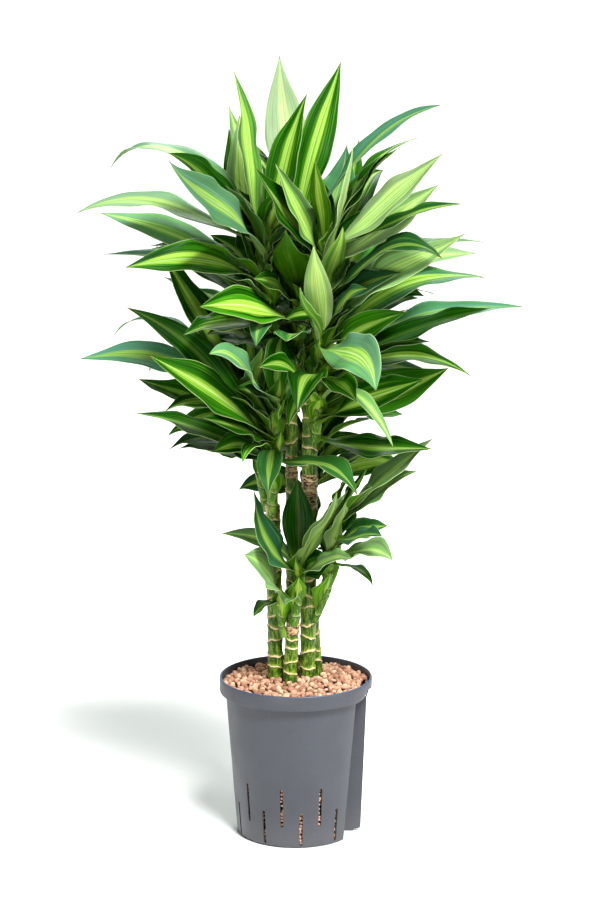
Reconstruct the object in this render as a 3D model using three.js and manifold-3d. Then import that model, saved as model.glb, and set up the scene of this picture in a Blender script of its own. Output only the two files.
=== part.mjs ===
// Potted dracaena: five ringed canes with leafy shoots, in clay granules, in a slotted culture pot.
// Millimetres, +Z up. The origin is the centre of the pot's underside; the front of the plant faces -Y.
import * as THREE from 'three';
import { mergeVertices } from 'three/addons/utils/BufferGeometryUtils.js';
import Module from 'manifold-3d';

const wasm = await Module();
wasm.setup();

// ---- driving dimensions ----
const potHeight = 190;
const rimRadius = 90;
const shoulderRadius = 83; // body radius right under the collar
const footRadius = 70;
const wall = 2;
const collarHeight = 18;
const potSides = 40;

const slotWidth = 3.6;
const slotPitch = 18; // degrees round the pot
const lowSlot = { first: 5, bottom: 2.8, top: 44 };
const highSlot = { first: 23, bottom: 26, top: 73 };

// The recess for a water level gauge, at the pot's right: a back wall that leans as the body does,
// and a far wall that stands proud of the body as a flange.
const notchFootX = 56;
const notchHeadX = 70;
const notchFarY = -8;
const notchTop = 168;
const flangeFootX = 77;
const flangeHeadX = 83.5;
const skirtFrom = 54; // the collar's skirt is cut away over the recess, between these azimuths
const skirtTo = 93;

const gap = 0.3; // clearance between neighbouring pieces
const bedTop = 181; // level of the granules at the wall
const bedHeap = 4; // and how much higher they lie in the middle
const caneFoot = 105; // lower end of every cane, down in the granules
const pebblePitch = 20;
const pebbleRise = 4.5;
const pebbleCuts = 3; // grid cells across one pebble

const bladeSteps = 6;
const shortBlade = 130; // a blade up to this span takes one step less
const bladeThickness = 1.4;
const rootDepth = 1.5; // distance of a blade's foot from the middle of its stem
const blockRadiusShare = 0.55; // stem radius under the growing tip, as a share of the radius at its foot
const bendStep = 11; // how far a blade's tip moves at each try when it is bent clear of another shoot
const bendTries = 26;
const spare = 0.8; // extra size of a blade while it is tested against its neighbours

// Canes: [x, y, z] up the middle line, radius, and the spacing of the rings above the granules.
const canes = [
  { name: 'cane_left', path: [[-24, 12, caneFoot], [-24, 12, 190], [-27, 12, 394]], radius: 8.6,
    pitch: 16.5 },
  { name: 'cane_short', path: [[-9, -2, caneFoot], [-7, -1, 190], [-3, 0, 262]], radius: 7.8, pitch: 14 },
  { name: 'cane_middle', path: [[-4, 35, caneFoot], [-4, 35, 190], [-5, 34, 508]], radius: 6.8, pitch: 19 },
  { name: 'cane_tall', path: [[12, 14, caneFoot], [14, 15, 190], [17, 15, 528]], radius: 8.8, pitch: 17.5 },
  { name: 'cane_back', path: [[26, 33, caneFoot], [24, 33, 190], [14, 40, 332]], radius: 7, pitch: 17 },
];

// Shoots. Each blade is [height on the stem, tip x, tip y, tip z, leaving angle, end angle, width, lean]:
// the angles are degrees above level, and lean turns the upper face towards the front.
// fill adds blades by rule: count, lowest and highest height, length, width, azimuth and spread.
const shoots = [
  {
    name: 'shoot_left', cane: 'cane_left', radius: 6.5,
    stem: [[-27, 3, 384], [-27, -6, 430], [-25, -14, 478], [-21, -20, 528]],
    blades: [
      [520, -96, -110, 592, 28, -8, 44, 45],
      [464, -31, -88, 427, 15, -74, 29, 0],
      [458, -60, -70, 460, 50, -80, 18, 0],
      [449, 69, -130, 436, 6, -46, 42, 14],
      [466, -103, -115, 521, 36, 20, 40, 40],
      [456, -182, -50, 514, 20, 10, 40, 30],
      [470, -160, -120, 592, 42, 28, 48, 60],
      [480, -193, -20, 631, 46, 22, 37, 50],
    ],
  },
  {
    name: 'shoot_right', cane: 'cane_tall', radius: 6,
    stem: [[22, 4, 470], [27, -16, 520], [32, -30, 600]],
    blades: [
      [578, 20, -70, 709, 88, 80, 31, 0],
      [592, 5, -55, 659, 85, 85, 15, 0],
      [582, 218, 20, 660, 52, -8, 44, 34],
      [588, 259, -30, 633, 18, -1, 40, 16],
      [568, 214, -80, 638, 20, 15, 42, 22],
      [560, 151, -120, 608, 28, 0, 42, 34],
      [552, 201, -10, 550, 20, -35, 37, 30],
      [498, 173, -60, 568, 30, 30, 50, 62],
      [490, 142, -130, 568, 35, 25, 46, 55],
      [585, 88, -160, 559, 2, -66, 54, 50],
      [512, 108, -70, 480, 62, -52, 20, 5],
      [548, 68, -130, 542, 10, -20, 33, 10],
      [473, 156, -30, 469, -10, 2, 40, 30],
      [512, -41, -110, 577, 56, -6, 34, 36],
      [500, -8, -110, 510, 80, -60, 26, 0],
      [500, 125, 20, 500, 30, 0, 44, 15],
      [545, 2, -120, 530, 25, -55, 42, 0],
    ],
  },
  {
    name: 'shoot_crown_centre', cane: 'cane_middle', radius: 6,
    stem: [[-1, 34, 500], [4, 28, 600], [0, 18, 722]],
    blades: [
      [702, -19, 110, 909, 82, 86, 50, 0],
      [690, -78, 110, 850, 70, 72, 34, 20],
      [706, 52, 70, 904, 84, 66, 42, 62],
      [680, 7, 75, 802, 80, 80, 40, 0],
      [690, 30, 40, 763, 65, 60, 31, 30],
      [630, -11, -60, 724, 80, 85, 44, 0],
      [712, 163, -40, 862, 46, 14, 36, 24],
      [580, -10, -70, 600, 40, 0, 42, 0],
      [604, -107, -90, 642, 25, 0, 46, 48],
    ],
    fill: { count: 4, low: 580, high: 700, length: 200, width: 38, azimuth: 180, spread: 80 },
  },
  {
    name: 'shoot_crown_left', cane: 'cane_middle', radius: 5.5,
    stem: [[-11, 27, 500], [-30, 18, 600], [-40, 7, 718]],
    blades: [
      [690, 13, 25, 870, 76, 66, 38, 55],
      [668, -65, 50, 844, 66, 80, 48, 60],
      [712, -141, -60, 810, 30, 20, 46, 66],
      [680, -80, 85, 834, 70, 75, 37, 20],
      [648, -191, -60, 682, 40, -8, 42, 44],
      [655, -169, 50, 693, 28, -5, 40, 25],
      [640, -225, 60, 682, 26, -2, 37, 15],
      [660, -225, 10, 737, 28, 12, 38, 38],
      [698, -247, -20, 739, 25, -24, 37, 25],
      [710, -214, 60, 783, 62, -55, 40, 18],
      [682, -134, -110, 799, 48, 38, 48, 75],
      [645, -77, -50, 766, 68, 62, 37, 40],
      [662, -60, -50, 751, 65, 62, 40, 40],
      [608, -126, -70, 607, 4, -15, 42, 28],
      [610, -45, -60, 592, 10, -70, 24, 0],
      [590, -70, -60, 640, 45, 40, 42, 45],
      [590, -120, 80, 640, 40, 20, 44, 25],
      [706, -70, 70, 886, 76, 74, 42, 40],
    ],
    fill: { count: 2, low: 570, high: 670, length: 210, width: 40, azimuth: 230, spread: 90 },
  },
  {
    name: 'shoot_crown_right', cane: 'cane_tall', radius: 6,
    stem: [[22, 14, 520], [31, 10, 600], [34, 12, 712]],
    blades: [
      [672, -23, 5, 789, 62, 58, 36, 75],
      [690, 22, -20, 797, 85, 85, 24, 20],
      [706, 121, 30, 810, 52, 32, 37, 12],
      [690, 162, -90, 812, 33, 38, 40, 70],
      [668, 160, -40, 773, 42, 40, 42, 60],
      [690, 184, -60, 752, 20, 6, 30, 24],
      [670, 103, 110, 730, 45, 40, 40, 20],
      [690, 60, 120, 804, 72, 70, 40, 10],
      [682, 75, 110, 815, 66, 64, 37, 20],
      [655, 64, 45, 805, 75, 88, 37, 50],
      [622, 162, -110, 699, 50, -30, 42, 38],
      [588, 187, -60, 718, 58, 33, 48, 50],
      [620, 208, 30, 687, 50, 2, 42, 25],
      [628, 53, -40, 726, 82, 82, 31, 20],
      [635, 60, -60, 709, 75, 78, 33, 10],
      [600, 105, 60, 765, 55, 50, 44, 30],
      [668, -45, -60, 795, 58, 56, 44, 65],
    ],
    fill: { count: 4, low: 565, high: 690, length: 210, width: 40, azimuth: 130, spread: 100 },
  },
  {
    name: 'shoot_left_back', cane: 'cane_left', radius: 6.5,
    stem: [[-33, 21, 384], [-46, 32, 450], [-52, 38, 522]],
    blades: [
      [505, -39, -10, 584, 85, 85, 37, 10],
      [520, -254, 60, 558, 26, -12, 42, 30],
      [515, -219, 110, 579, 36, -50, 35, -4],
      [515, -159, 50, 691, 56, 57, 51, 60],
      [500, -177, 110, 535, 46, -60, 44, 0],
      [490, -187, 90, 529, 16, 14, 42, 15],
      [490, -152, 40, 469, 12, -40, 40, 30],
      [503, -151, 0, 507, 10, -28, 37, 30],
    ],
    fill: { count: 3, low: 440, high: 520, length: 190, width: 38, azimuth: 215, spread: 90 },
  },
  {
    name: 'shoot_low_left', cane: 'cane_short', radius: 4.5,
    stem: [[-14, -4, 238], [-19, -8, 268], [-18, -10, 288]],
    blades: [
      [280, -58, -75, 355, 72, 25, 48, 68],
      [278, -49, -30, 269, 40, -62, 20, 0],
    ],
  },
  {
    name: 'shoot_low_front', cane: 'cane_short', radius: 5.5,
    stem: [[-3, -5, 252], [4, -12, 290], [3, -17, 330]],
    blades: [
      [322, 2, -4, 428, 88, 84, 37, 0],
      [315, -48, -50, 425, 38, 86, 44, 65],
      [320, -87, -20, 365, 66, -4, 21, 60],
      [300, 0, -40, 344, 88, 88, 15, 0],
      [285, -13, -55, 289, 0, -60, 22, 0],
      [320, 60, -50, 425, 66, 58, 35, -20],
      [315, 65, -60, 347, 30, 0, 32, 30],
      [328, 46, -30, 424, 55, 70, 33, 45],
    ],
  },
  {
    name: 'shoot_low_right', cane: 'cane_tall', radius: 5,
    stem: [[21, 10, 252], [37, 6, 290], [42, 3, 330], [48, -2, 378]],
    blades: [
      [376, 158, -20, 479, 48, 40, 36, 22],
      [370, 140, -60, 447, 40, 15, 38, 25],
      [370, 90, -110, 440, 55, 30, 35, 30],
      [372, 84, 20, 437, 65, 55, 26, -10],
      [330, 58, -50, 413, 86, 60, 33, 30],
      [356, 98, -90, 380, 4, 0, 32, 30],
      [336, 111, -100, 352, 8, -26, 42, 32],
      [325, 89, -50, 311, 2, -60, 16, 0],
    ],
  },
  {
    name: 'shoot_back', cane: 'cane_back', radius: 5.5,
    stem: [[13, 43, 322], [18, 62, 400], [22, 78, 470]],
    blades: [],
    fill: { count: 7, low: 385, high: 468, length: 175, width: 38, azimuth: 170, spread: 230 },
  },
];

const colours = {
  pot: 0x73767d, clay: 0xc8967d, cane: 0x7d8c3f, shoot: 0x3f7a2a,
};

// ---- solids ----
function solidFrom(geometry) {
  geometry.deleteAttribute('normal');
  geometry.deleteAttribute('uv');
  const merged = mergeVertices(geometry, 1e-4);
  const mesh = new wasm.Mesh({
    numProp: 3,
    vertProperties: new Float32Array(merged.attributes.position.array),
    triVerts: new Uint32Array(merged.index.array),
  });
  return new wasm.Manifold(mesh);
}

// A closed skin over rings of equal point count; the last ring may be a single point.
// The diagonals alternate round the ring, so that a thin blade is split alike on both faces.
function loft(rings) {
  const points = rings.flat();
  const sides = rings[0].length;
  const faces = [];
  const starts = rings.map((ring, i) => i * sides);
  for (let i = 0; i < rings.length - 1; i += 1) {
    const a = starts[i];
    const b = starts[i + 1];
    for (let k = 0; k < sides; k += 1) {
      const next = (k + 1) % sides;
      if (rings[i + 1].length === 1) faces.push(a + k, a + next, b);
      else if (k % 2 === 0) faces.push(a + k, a + next, b + next, a + k, b + next, b + k);
      else faces.push(a + k, a + next, b + k, a + next, b + next, b + k);
    }
  }
  for (let k = 1; k < sides - 1; k += 1) faces.push(0, k + 1, k);
  const last = starts[rings.length - 1];
  if (rings[rings.length - 1].length > 1) {
    for (let k = 1; k < sides - 1; k += 1) faces.push(last, last + k, last + k + 1);
  }
  const geometry = new THREE.BufferGeometry();
  geometry.setAttribute('position', new THREE.Float32BufferAttribute(points.flatMap((p) => p.toArray()), 3));
  geometry.setIndex(faces);
  return solidFrom(geometry);
}

function revolve(profile, sides) {
  const points = profile.map(([radius, z]) => new THREE.Vector2(radius, z));
  return solidFrom(new THREE.LatheGeometry(points, sides).rotateX(Math.PI / 2));
}

// A flat outline in plan, raised from one level to another.
function raise(outline, from, to) {
  const shape = new THREE.Shape(outline.map(([x, y]) => new THREE.Vector2(x, y)));
  const geometry = new THREE.ExtrudeGeometry(shape, { depth: to - from, bevelEnabled: false });
  return solidFrom(geometry.translate(0, 0, from));
}

const radians = THREE.MathUtils.degToRad;

// A point at an azimuth measured from the front towards +X.
function around(azimuth, radius) {
  return [radius * Math.sin(radians(azimuth)), -radius * Math.cos(radians(azimuth))];
}

function seededDraw(seed) {
  let state = seed;
  return () => {
    state = (state * 16807) % 2147483647;
    return state / 2147483647;
  };
}

// ---- pot ----
const innerRim = rimRadius - wall - 0.5;
const innerShoulder = shoulderRadius - wall;
const innerFoot = footRadius - wall;
const collarFoot = potHeight - collarHeight;
const floorTop = wall + 0.5;
const skirtTop = potHeight - 9.5; // upper edge of the cut in the collar over the recess
const shelf = 1;
const notchSlotFree = { from: 50, to: 98 }; // azimuths that carry no slots

// An outline in x and z, as thick as two levels of y are apart.
function slab(outline, fromY, toY) {
  const shape = new THREE.Shape(outline.map(([x, z]) => new THREE.Vector2(x, z)));
  const geometry = new THREE.ExtrudeGeometry(shape, { depth: toY - fromY, bevelEnabled: false });
  return solidFrom(geometry.rotateX(Math.PI / 2).translate(0, toY, 0));
}

function notchWallX(z) {
  return notchFootX + ((notchHeadX - notchFootX) * z) / notchTop;
}

function notchCutter(grown) {
  const foot = -5;
  const far = rimRadius + 30;
  return slab([
    [notchWallX(foot) - grown, foot], [far, foot], [far, notchTop + grown],
    [notchWallX(notchTop) - grown, notchTop + grown],
  ], -rimRadius, notchFarY + grown);
}

// The part of the collar's skirt that is cut away over the recess.
function skirtOutline(grown) {
  const inner = shoulderRadius + 1.5 - grown;
  const from = skirtFrom - 0.7 * grown;
  const to = skirtTo + 0.7 * grown;
  const steps = 5;
  const arc = Array.from({ length: steps + 1 }, (_, i) => around(from + ((to - from) * i) / steps, inner));
  return [...arc, around(to, rimRadius + 30), around(from, rimRadius + 30)];
}

function makePot() {
  const outside = revolve([
    [0, 0], [footRadius - 4, 0], [footRadius - 1.2, 1.4], [footRadius, 5], [shoulderRadius, collarFoot - 1],
    [rimRadius - 1, collarFoot], [rimRadius, collarFoot + 2], [rimRadius, potHeight - 1],
    [rimRadius - 0.8, potHeight], [0, potHeight],
  ], potSides);
  const inside = revolve([
    [0, floorTop], [innerFoot, floorTop], [innerShoulder, collarFoot - 2], [innerRim, collarFoot + 3],
    [innerRim, potHeight + 5], [0, potHeight + 5],
  ], potSides);
  const hollow = inside.subtract(notchCutter(wall))
    .subtract(raise(skirtOutline(wall), notchTop - 10, skirtTop + shelf));
  let pot = outside.subtract(notchCutter(0))
    .subtract(raise(skirtOutline(0), notchTop - 10, skirtTop)).subtract(hollow).add(makeFlange());
  for (const slot of [lowSlot, highSlot]) {
    for (let azimuth = slot.first; azimuth < slot.first + 360; azimuth += 2 * slotPitch) {
      const turned = azimuth % 360;
      if (turned > notchSlotFree.from && turned < notchSlotFree.to) continue;
      pot = pot.subtract(slotCutter(turned, slot));
    }
  }
  return pot;
}

// The far wall of the recess stands proud of the pot's round body, up to the collar's ring.
function makeFlange() {
  const foot = 3;
  const knee = collarFoot - 6;
  const corner = 3;
  return slab([
    [notchWallX(foot) - 1, foot], [flangeFootX - corner, foot], [flangeFootX - 0.8, foot + 0.8],
    [flangeFootX, foot + corner], [flangeHeadX, knee], [rimRadius - 2, skirtTop + 0.5],
    [shoulderRadius + 0.5, skirtTop + 0.5], [shoulderRadius - 0.4, knee], [notchWallX(knee) - 1, knee],
  ], notchFarY, notchFarY + wall);
}

function slotCutter(azimuth, { bottom, top }) {
  const half = slotWidth / 2;
  const shape = new THREE.Shape();
  shape.absarc(0, top - half, half, 0, Math.PI, false);
  shape.absarc(0, bottom + half, half, Math.PI, 2 * Math.PI, false);
  const geometry = new THREE.ExtrudeGeometry(shape, { depth: 40, bevelEnabled: false, curveSegments: 2 });
  geometry.translate(0, 0, footRadius - 15).rotateX(Math.PI / 2).rotateZ(radians(azimuth));
  return solidFrom(geometry);
}

// ---- canes ----
function pathPoint(path, z) {
  const last = path.length - 1;
  const clamped = Math.min(Math.max(z, path[0][2]), path[last][2]);
  let i = 0;
  while (i < last - 1 && clamped > path[i + 1][2]) i += 1;
  const share = (clamped - path[i][2]) / (path[i + 1][2] - path[i][2]);
  const from = new THREE.Vector3(...path[i]);
  return from.lerp(new THREE.Vector3(...path[i + 1]), share);
}

function ringAt(centre, radius, sides) {
  return Array.from({ length: sides }, (_, k) => {
    const turn = (2 * Math.PI * k) / sides;
    return centre.clone().add(new THREE.Vector3(radius * Math.cos(turn), radius * Math.sin(turn), 0));
  });
}

function makeCane({ path, radius, pitch }, grown = 0) {
  const sides = 6;
  const top = path[path.length - 1][2] + grown;
  const rings = [path[0], path[1]].map(([, , z]) => ringAt(pathPoint(path, z), radius + grown, sides));
  for (let z = bedTop + pitch; z < top - pitch / 2; z += pitch) {
    rings.push(ringAt(pathPoint(path, z), radius + 0.9 + grown, sides));
    rings.push(ringAt(pathPoint(path, z + 2), radius + grown, sides));
  }
  const cut = pathPoint(path, top);
  cut.z = top;
  rings.push(ringAt(cut, radius + grown, sides));
  return loft(rings);
}

// ---- granules ----
// The granules' surface is a relief of domes, each with its own height and its foot shifted a little.
function makeGranules() {
  const plug = revolve([
    [0, floorTop + gap], [innerFoot - gap, floorTop + gap], [innerShoulder - gap, collarFoot - 2],
    [innerRim - gap, collarFoot + 3 + gap], [innerRim - gap, potHeight + 5], [0, potHeight + 5],
  ], potSides);
  const across = Math.ceil((2 * innerRim) / pebblePitch) * pebblePitch;
  const cells = (across / pebblePitch) * pebbleCuts;
  const relief = new THREE.BoxGeometry(across, across, bedTop, cells, cells, 1).translate(0, 0, bedTop / 2);
  const place = relief.attributes.position;
  for (let i = 0; i < place.count; i += 1) {
    if (place.getZ(i) < 1) continue;
    const [x, y, rise] = pebbleRelief(place.getX(i), place.getY(i));
    place.setXYZ(i, x, y, bedTop + rise);
  }
  let bed = plug.intersect(solidFrom(relief)).subtract(notchCutter(wall + gap))
    .subtract(raise(skirtOutline(wall + gap), notchTop - 10, skirtTop + shelf + gap));
  for (const cane of canes) bed = bed.subtract(makeCane({ ...cane, pitch: 1000 }, gap + 0.1));
  return largest(bed);
}

function pebbleRelief(x, y) {
  const row = Math.round(y / pebblePitch);
  const stagger = row % 2 === 0 ? 0 : pebblePitch / 2;
  const column = Math.round((x - stagger) / pebblePitch);
  const fromX = x - stagger - column * pebblePitch;
  const fromY = y - row * pebblePitch;
  const wander = Math.sin(row * 12.9 + column * 78.2) * 43758;
  const own = wander - Math.floor(wander);
  const away = (2 * Math.hypot(fromX, fromY)) / pebblePitch;
  const dome = pebbleRise * Math.sqrt(Math.max(0, 1 - 0.75 * away * away));
  const heap = bedHeap * (1 - Math.hypot(x, y) / innerRim);
  const jitter = 0.14 * pebblePitch;
  return [
    x + jitter * Math.sin(y * 1.3 + column), y + jitter * Math.cos(x * 1.7 + row),
    dome * (0.65 + 0.35 * own) + heap + 1.2 * own - 3.4,
  ];
}

// Only the main body is kept, so a scrap that a cut leaves loose is dropped.
function largest(solid) {
  return solid.decompose().sort((a, b) => b.volume() - a.volume())[0];
}

// ---- shoots ----
function makeStem({ stem, radius }) {
  const sides = 6;
  const foot = stem[0][2];
  const top = stem[stem.length - 1][2];
  const rings = [];
  const count = Math.ceil((top - foot) / 60);
  for (let i = 0; i <= count; i += 1) {
    const share = i / count;
    const size = radius * (1 - (1 - blockRadiusShare) * share);
    rings.push(ringAt(pathPoint(stem, foot + (top - foot) * share), size, sides));
  }
  rings.push([pathPoint(stem, top).add(new THREE.Vector3(0, 0, radius * 1.5))]);
  return loft(rings);
}

// Blades added by rule at the back of a shoot, from the lowest, spreading, to the highest, rising.
function fillBlades({ stem, fill }, draw) {
  if (!fill) return [];
  return Array.from({ length: fill.count }, (_, i) => {
    const share = (i + 0.5) / fill.count;
    const height = fill.low + (fill.high - fill.low) * share;
    const azimuth = fill.azimuth + fill.spread * (((i * 0.618 + 0.5) % 1) - 0.5);
    const rise = 8 + 48 * share;
    const reach = fill.length * (0.85 + 0.3 * draw());
    const base = pathPoint(stem, height);
    const [x, y] = around(azimuth, reach * Math.cos(radians(rise)));
    const tipZ = height + reach * Math.sin(radians(rise));
    return [height, base.x + x, base.y + y, tipZ, rise + 25, rise - 35, fill.width, 20 - 30 * draw()];
  });
}

// Width along a blade: a narrow clasping foot, widest a little past the middle, and a long point.
function widthShare(t) {
  return 0.3 * (1 - t) ** 4 + Math.max(0, Math.sin(Math.PI * t ** 1.1)) ** 1.1;
}

function makeBlade(stem, row, wavePhase, grown = 0, from = 0) {
  const [height, tipX, tipY, tipZ, leaving, ending, width, lean] = row;
  const middle = pathPoint(stem, height);
  const tip = new THREE.Vector3(tipX, tipY, tipZ);
  const up = new THREE.Vector3(0, 0, 1);
  const out = tip.clone().sub(middle).setZ(0).normalize();
  const base = middle.addScaledVector(out, rootDepth);
  const span = tip.clone().sub(base);
  const along = (angle) => out.clone().multiplyScalar(Math.cos(radians(angle)))
    .addScaledVector(up, Math.sin(radians(angle)));
  const length = span.length();
  const curve = new THREE.CubicBezierCurve3(
    base, base.clone().addScaledVector(along(leaving), 0.42 * length),
    tip.clone().addScaledVector(along(ending), -0.38 * length), tip,
  );
  const side = new THREE.Vector3().crossVectors(out, up);
  const turnTo = out.x > 0 ? 1 : -1;
  const rings = [];
  const steps = length > shortBlade ? bladeSteps : bladeSteps - 1;
  for (let i = from; i < steps; i += 1) {
    const t = i / steps;
    const heading = curve.getTangent(t);
    const upper = new THREE.Vector3().crossVectors(side, heading).normalize();
    const angle = radians(lean) * turnTo * Math.min(3 * t, 1) + radians(22) * Math.sin(wavePhase) * t * t;
    const across = side.clone().applyAxisAngle(heading, angle);
    upper.applyAxisAngle(heading, angle);
    const half = (width / 2 + grown) * widthShare(t);
    const fade = Math.sin(Math.PI * t) * 0.07 * width;
    const leftWave = 0.22 * half + fade * Math.sin(14 * t + wavePhase);
    const rightWave = 0.22 * half + fade * Math.sin(12 * t + wavePhase + 2);
    const thick = (bladeThickness + 3 * (1 - t) ** 4) / 2 + grown;
    const centre = curve.getPoint(t);
    rings.push([
      centre.clone().addScaledVector(across, -half).addScaledVector(upper, leftWave),
      centre.clone().addScaledVector(upper, thick),
      centre.clone().addScaledVector(across, half).addScaledVector(upper, rightWave),
      centre.clone().addScaledVector(upper, -thick),
    ]);
  }
  rings.push([tip]);
  return loft(rings);
}

function crosses(solid, others) {
  const box = solid.boundingBox();
  return others.some((other) => {
    const apart = [0, 1, 2].some((k) => box.min[k] > other.box.max[k] || box.max[k] < other.box.min[k]);
    return !apart && !solid.intersect(other.solid).isEmpty();
  });
}

function withBox(solid) {
  return { solid, box: solid.boundingBox() };
}

// A blade that would cross another is bent forward or back, a little more at each try.
function clearBlade(shoot, blade, wavePhase, others, own) {
  let fallback = null;
  for (let attempt = 0; attempt <= bendTries; attempt += 1) {
    const sign = attempt % 2 === 1 ? 1 : -1;
    const shift = sign * Math.ceil(attempt / 2) * bendStep;
    const bent = [...blade];
    bent[2] += shift;
    bent[3] -= 0.17 * shift;
    const body = makeBlade(shoot.stem, bent, wavePhase, spare);
    if (crosses(body, others)) continue;
    const outer = makeBlade(shoot.stem, bent, wavePhase, spare / 4, 1);
    const found = { body, outer, blade: makeBlade(shoot.stem, bent, wavePhase) };
    if (!crosses(outer, own)) return found;
    if (!fallback) fallback = found;
  }
  return fallback;
}

function makeShoots(caneSolids) {
  const stems = shoots.map((shoot) => makeStem(shoot));
  const placed = caneSolids.map((solid) => ({ ...withBox(solid), owner: null }));
  stems.forEach((solid, i) => placed.push({ ...withBox(solid), owner: shoots[i].name }));
  const draw = seededDraw(29);
  return shoots.map((shoot, n) => {
    let body = stems[n];
    const own = [];
    const blades = [...shoot.blades, ...fillBlades(shoot, draw)];
    blades.forEach((blade, i) => {
      const others = placed.filter(({ owner }) => owner !== shoot.name);
      const found = clearBlade(shoot, blade, 1.7 * (i + n), others, own);
      if (!found) return;
      placed.push({ ...withBox(found.body), owner: shoot.name });
      own.push(withBox(found.outer));
      body = body.add(found.blade);
    });
    const cane = canes.find(({ name }) => name === shoot.cane);
    return { name: shoot.name, solid: largest(body.subtract(makeCane(cane, gap))) };
  });
}

// ---- assembly ----
const group = new THREE.Group();

function addMesh(name, solid, colour, roughness) {
  const { vertProperties, triVerts } = solid.getMesh();
  const geometry = new THREE.BufferGeometry();
  geometry.setAttribute('position', new THREE.BufferAttribute(new Float32Array(vertProperties), 3));
  geometry.setIndex(new THREE.BufferAttribute(new Uint32Array(triVerts), 1));
  geometry.computeVertexNormals();
  const material = new THREE.MeshStandardMaterial({ color: colour, roughness, metalness: 0 });
  const mesh = new THREE.Mesh(geometry, material);
  mesh.name = name;
  group.add(mesh);
}

addMesh('pot', makePot(), colours.pot, 0.5);
addMesh('clay_granules', makeGranules(), colours.clay, 0.95);
const caneSolids = canes.map((cane) => makeCane(cane));
canes.forEach(({ name }, i) => addMesh(name, caneSolids[i], colours.cane, 0.6));
for (const { name, solid } of makeShoots(caneSolids)) addMesh(name, solid, colours.shoot, 0.4);

export default group;
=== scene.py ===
import math
import random

import bpy
from mathutils import Matrix, Quaternion, Vector
from mathutils.bvhtree import BVHTree
from mathutils.kdtree import KDTree


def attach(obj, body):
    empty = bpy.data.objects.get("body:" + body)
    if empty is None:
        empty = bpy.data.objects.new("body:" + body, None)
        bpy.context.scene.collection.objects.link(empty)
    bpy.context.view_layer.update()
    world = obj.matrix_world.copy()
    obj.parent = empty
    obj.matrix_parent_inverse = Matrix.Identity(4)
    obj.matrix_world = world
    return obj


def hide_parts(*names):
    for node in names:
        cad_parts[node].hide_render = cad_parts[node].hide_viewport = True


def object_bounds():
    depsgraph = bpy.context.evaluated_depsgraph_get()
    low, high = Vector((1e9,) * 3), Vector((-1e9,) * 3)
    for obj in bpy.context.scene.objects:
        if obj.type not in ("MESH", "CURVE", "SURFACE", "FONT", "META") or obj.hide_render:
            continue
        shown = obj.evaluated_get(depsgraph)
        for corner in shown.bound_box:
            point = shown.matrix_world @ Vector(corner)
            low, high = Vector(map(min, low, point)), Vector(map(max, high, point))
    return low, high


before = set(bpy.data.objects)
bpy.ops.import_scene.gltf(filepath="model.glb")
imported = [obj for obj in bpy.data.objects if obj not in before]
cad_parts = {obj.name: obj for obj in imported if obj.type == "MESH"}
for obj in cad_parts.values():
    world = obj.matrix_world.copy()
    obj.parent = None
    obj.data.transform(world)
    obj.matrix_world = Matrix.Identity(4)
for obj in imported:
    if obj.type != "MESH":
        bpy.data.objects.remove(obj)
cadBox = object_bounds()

mm = 0.001  # sizes are written in millimetres and scaled to the frame's metres
print("frame loaded:", len(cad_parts), "nodes")

# camera, at the photograph's height and angle
cameraSetup = {"place": (4.94, -2951, 1059), "pitchDown": 11.45, "lens": 103.84, "sensor": 36, "clipEnd": 60}


def pointCamera(setup):
    place = tuple(value * mm for value in setup["place"])
    bpy.ops.object.camera_add(location=place, rotation=(math.radians(90 - setup["pitchDown"]), 0, 0))
    camera = bpy.context.object
    camera.name = "viewCamera"
    camera.data.lens = setup["lens"]
    camera.data.sensor_width = setup["sensor"]
    camera.data.clip_end = setup["clipEnd"]
    bpy.context.scene.camera = camera


pointCamera(cameraSetup)


# small tools for modelling
def clearSelection():
    if bpy.context.object and bpy.context.object.mode != "OBJECT":
        bpy.ops.object.mode_set(mode="OBJECT")
    bpy.ops.object.select_all(action="DESELECT")


def makeActive(piece):
    clearSelection()
    piece.select_set(True)
    bpy.context.view_layer.objects.active = piece


def openMesh(action=None, by=None):
    bpy.ops.object.mode_set(mode="EDIT")
    if by:
        bpy.ops.mesh.select_mode(type=by)
    if action:
        bpy.ops.mesh.select_all(action=action)


def closeMesh():
    bpy.ops.object.mode_set(mode="OBJECT")


def applyPlace(piece):
    makeActive(piece)
    bpy.ops.object.transform_apply(location=True, rotation=True, scale=True)


def applyModifier(piece, kind, **settings):
    makeActive(piece)
    modifier = piece.modifiers.new(kind.lower(), kind)
    for key, value in settings.items():
        setattr(modifier, key, value)
    bpy.ops.object.modifier_apply(modifier=modifier.name)


def cutWith(piece, tool, operation="DIFFERENCE"):
    applyModifier(piece, "BOOLEAN", object=tool, operation=operation, solver="EXACT")
    bpy.data.objects.remove(tool)


def joinPieces(pieces, name):
    clearSelection()
    for piece in pieces:
        piece.select_set(True)
    bpy.context.view_layer.objects.active = pieces[0]
    if len(pieces) > 1:
        bpy.ops.object.join()
    pieces[0].name = name
    return pieces[0]


def copyPiece(source):
    piece = source.copy()
    piece.data = source.data.copy()
    bpy.context.scene.collection.objects.link(piece)
    return piece


def markPoints(piece, name, values):
    attribute = piece.data.attributes.new(name, "FLOAT", "POINT")
    attribute.data.foreach_set("value", values)


def mergeDoubles(piece, reach=0.02, faceOut=True):
    makeActive(piece)
    openMesh("SELECT")
    bpy.ops.mesh.remove_doubles(threshold=reach * mm)
    if faceOut:
        bpy.ops.mesh.normals_make_consistent(inside=False)
    closeMesh()


def smoothByAngle(piece, degrees):
    makeActive(piece)
    bpy.ops.object.shade_smooth_by_angle(angle=math.radians(degrees))


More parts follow.
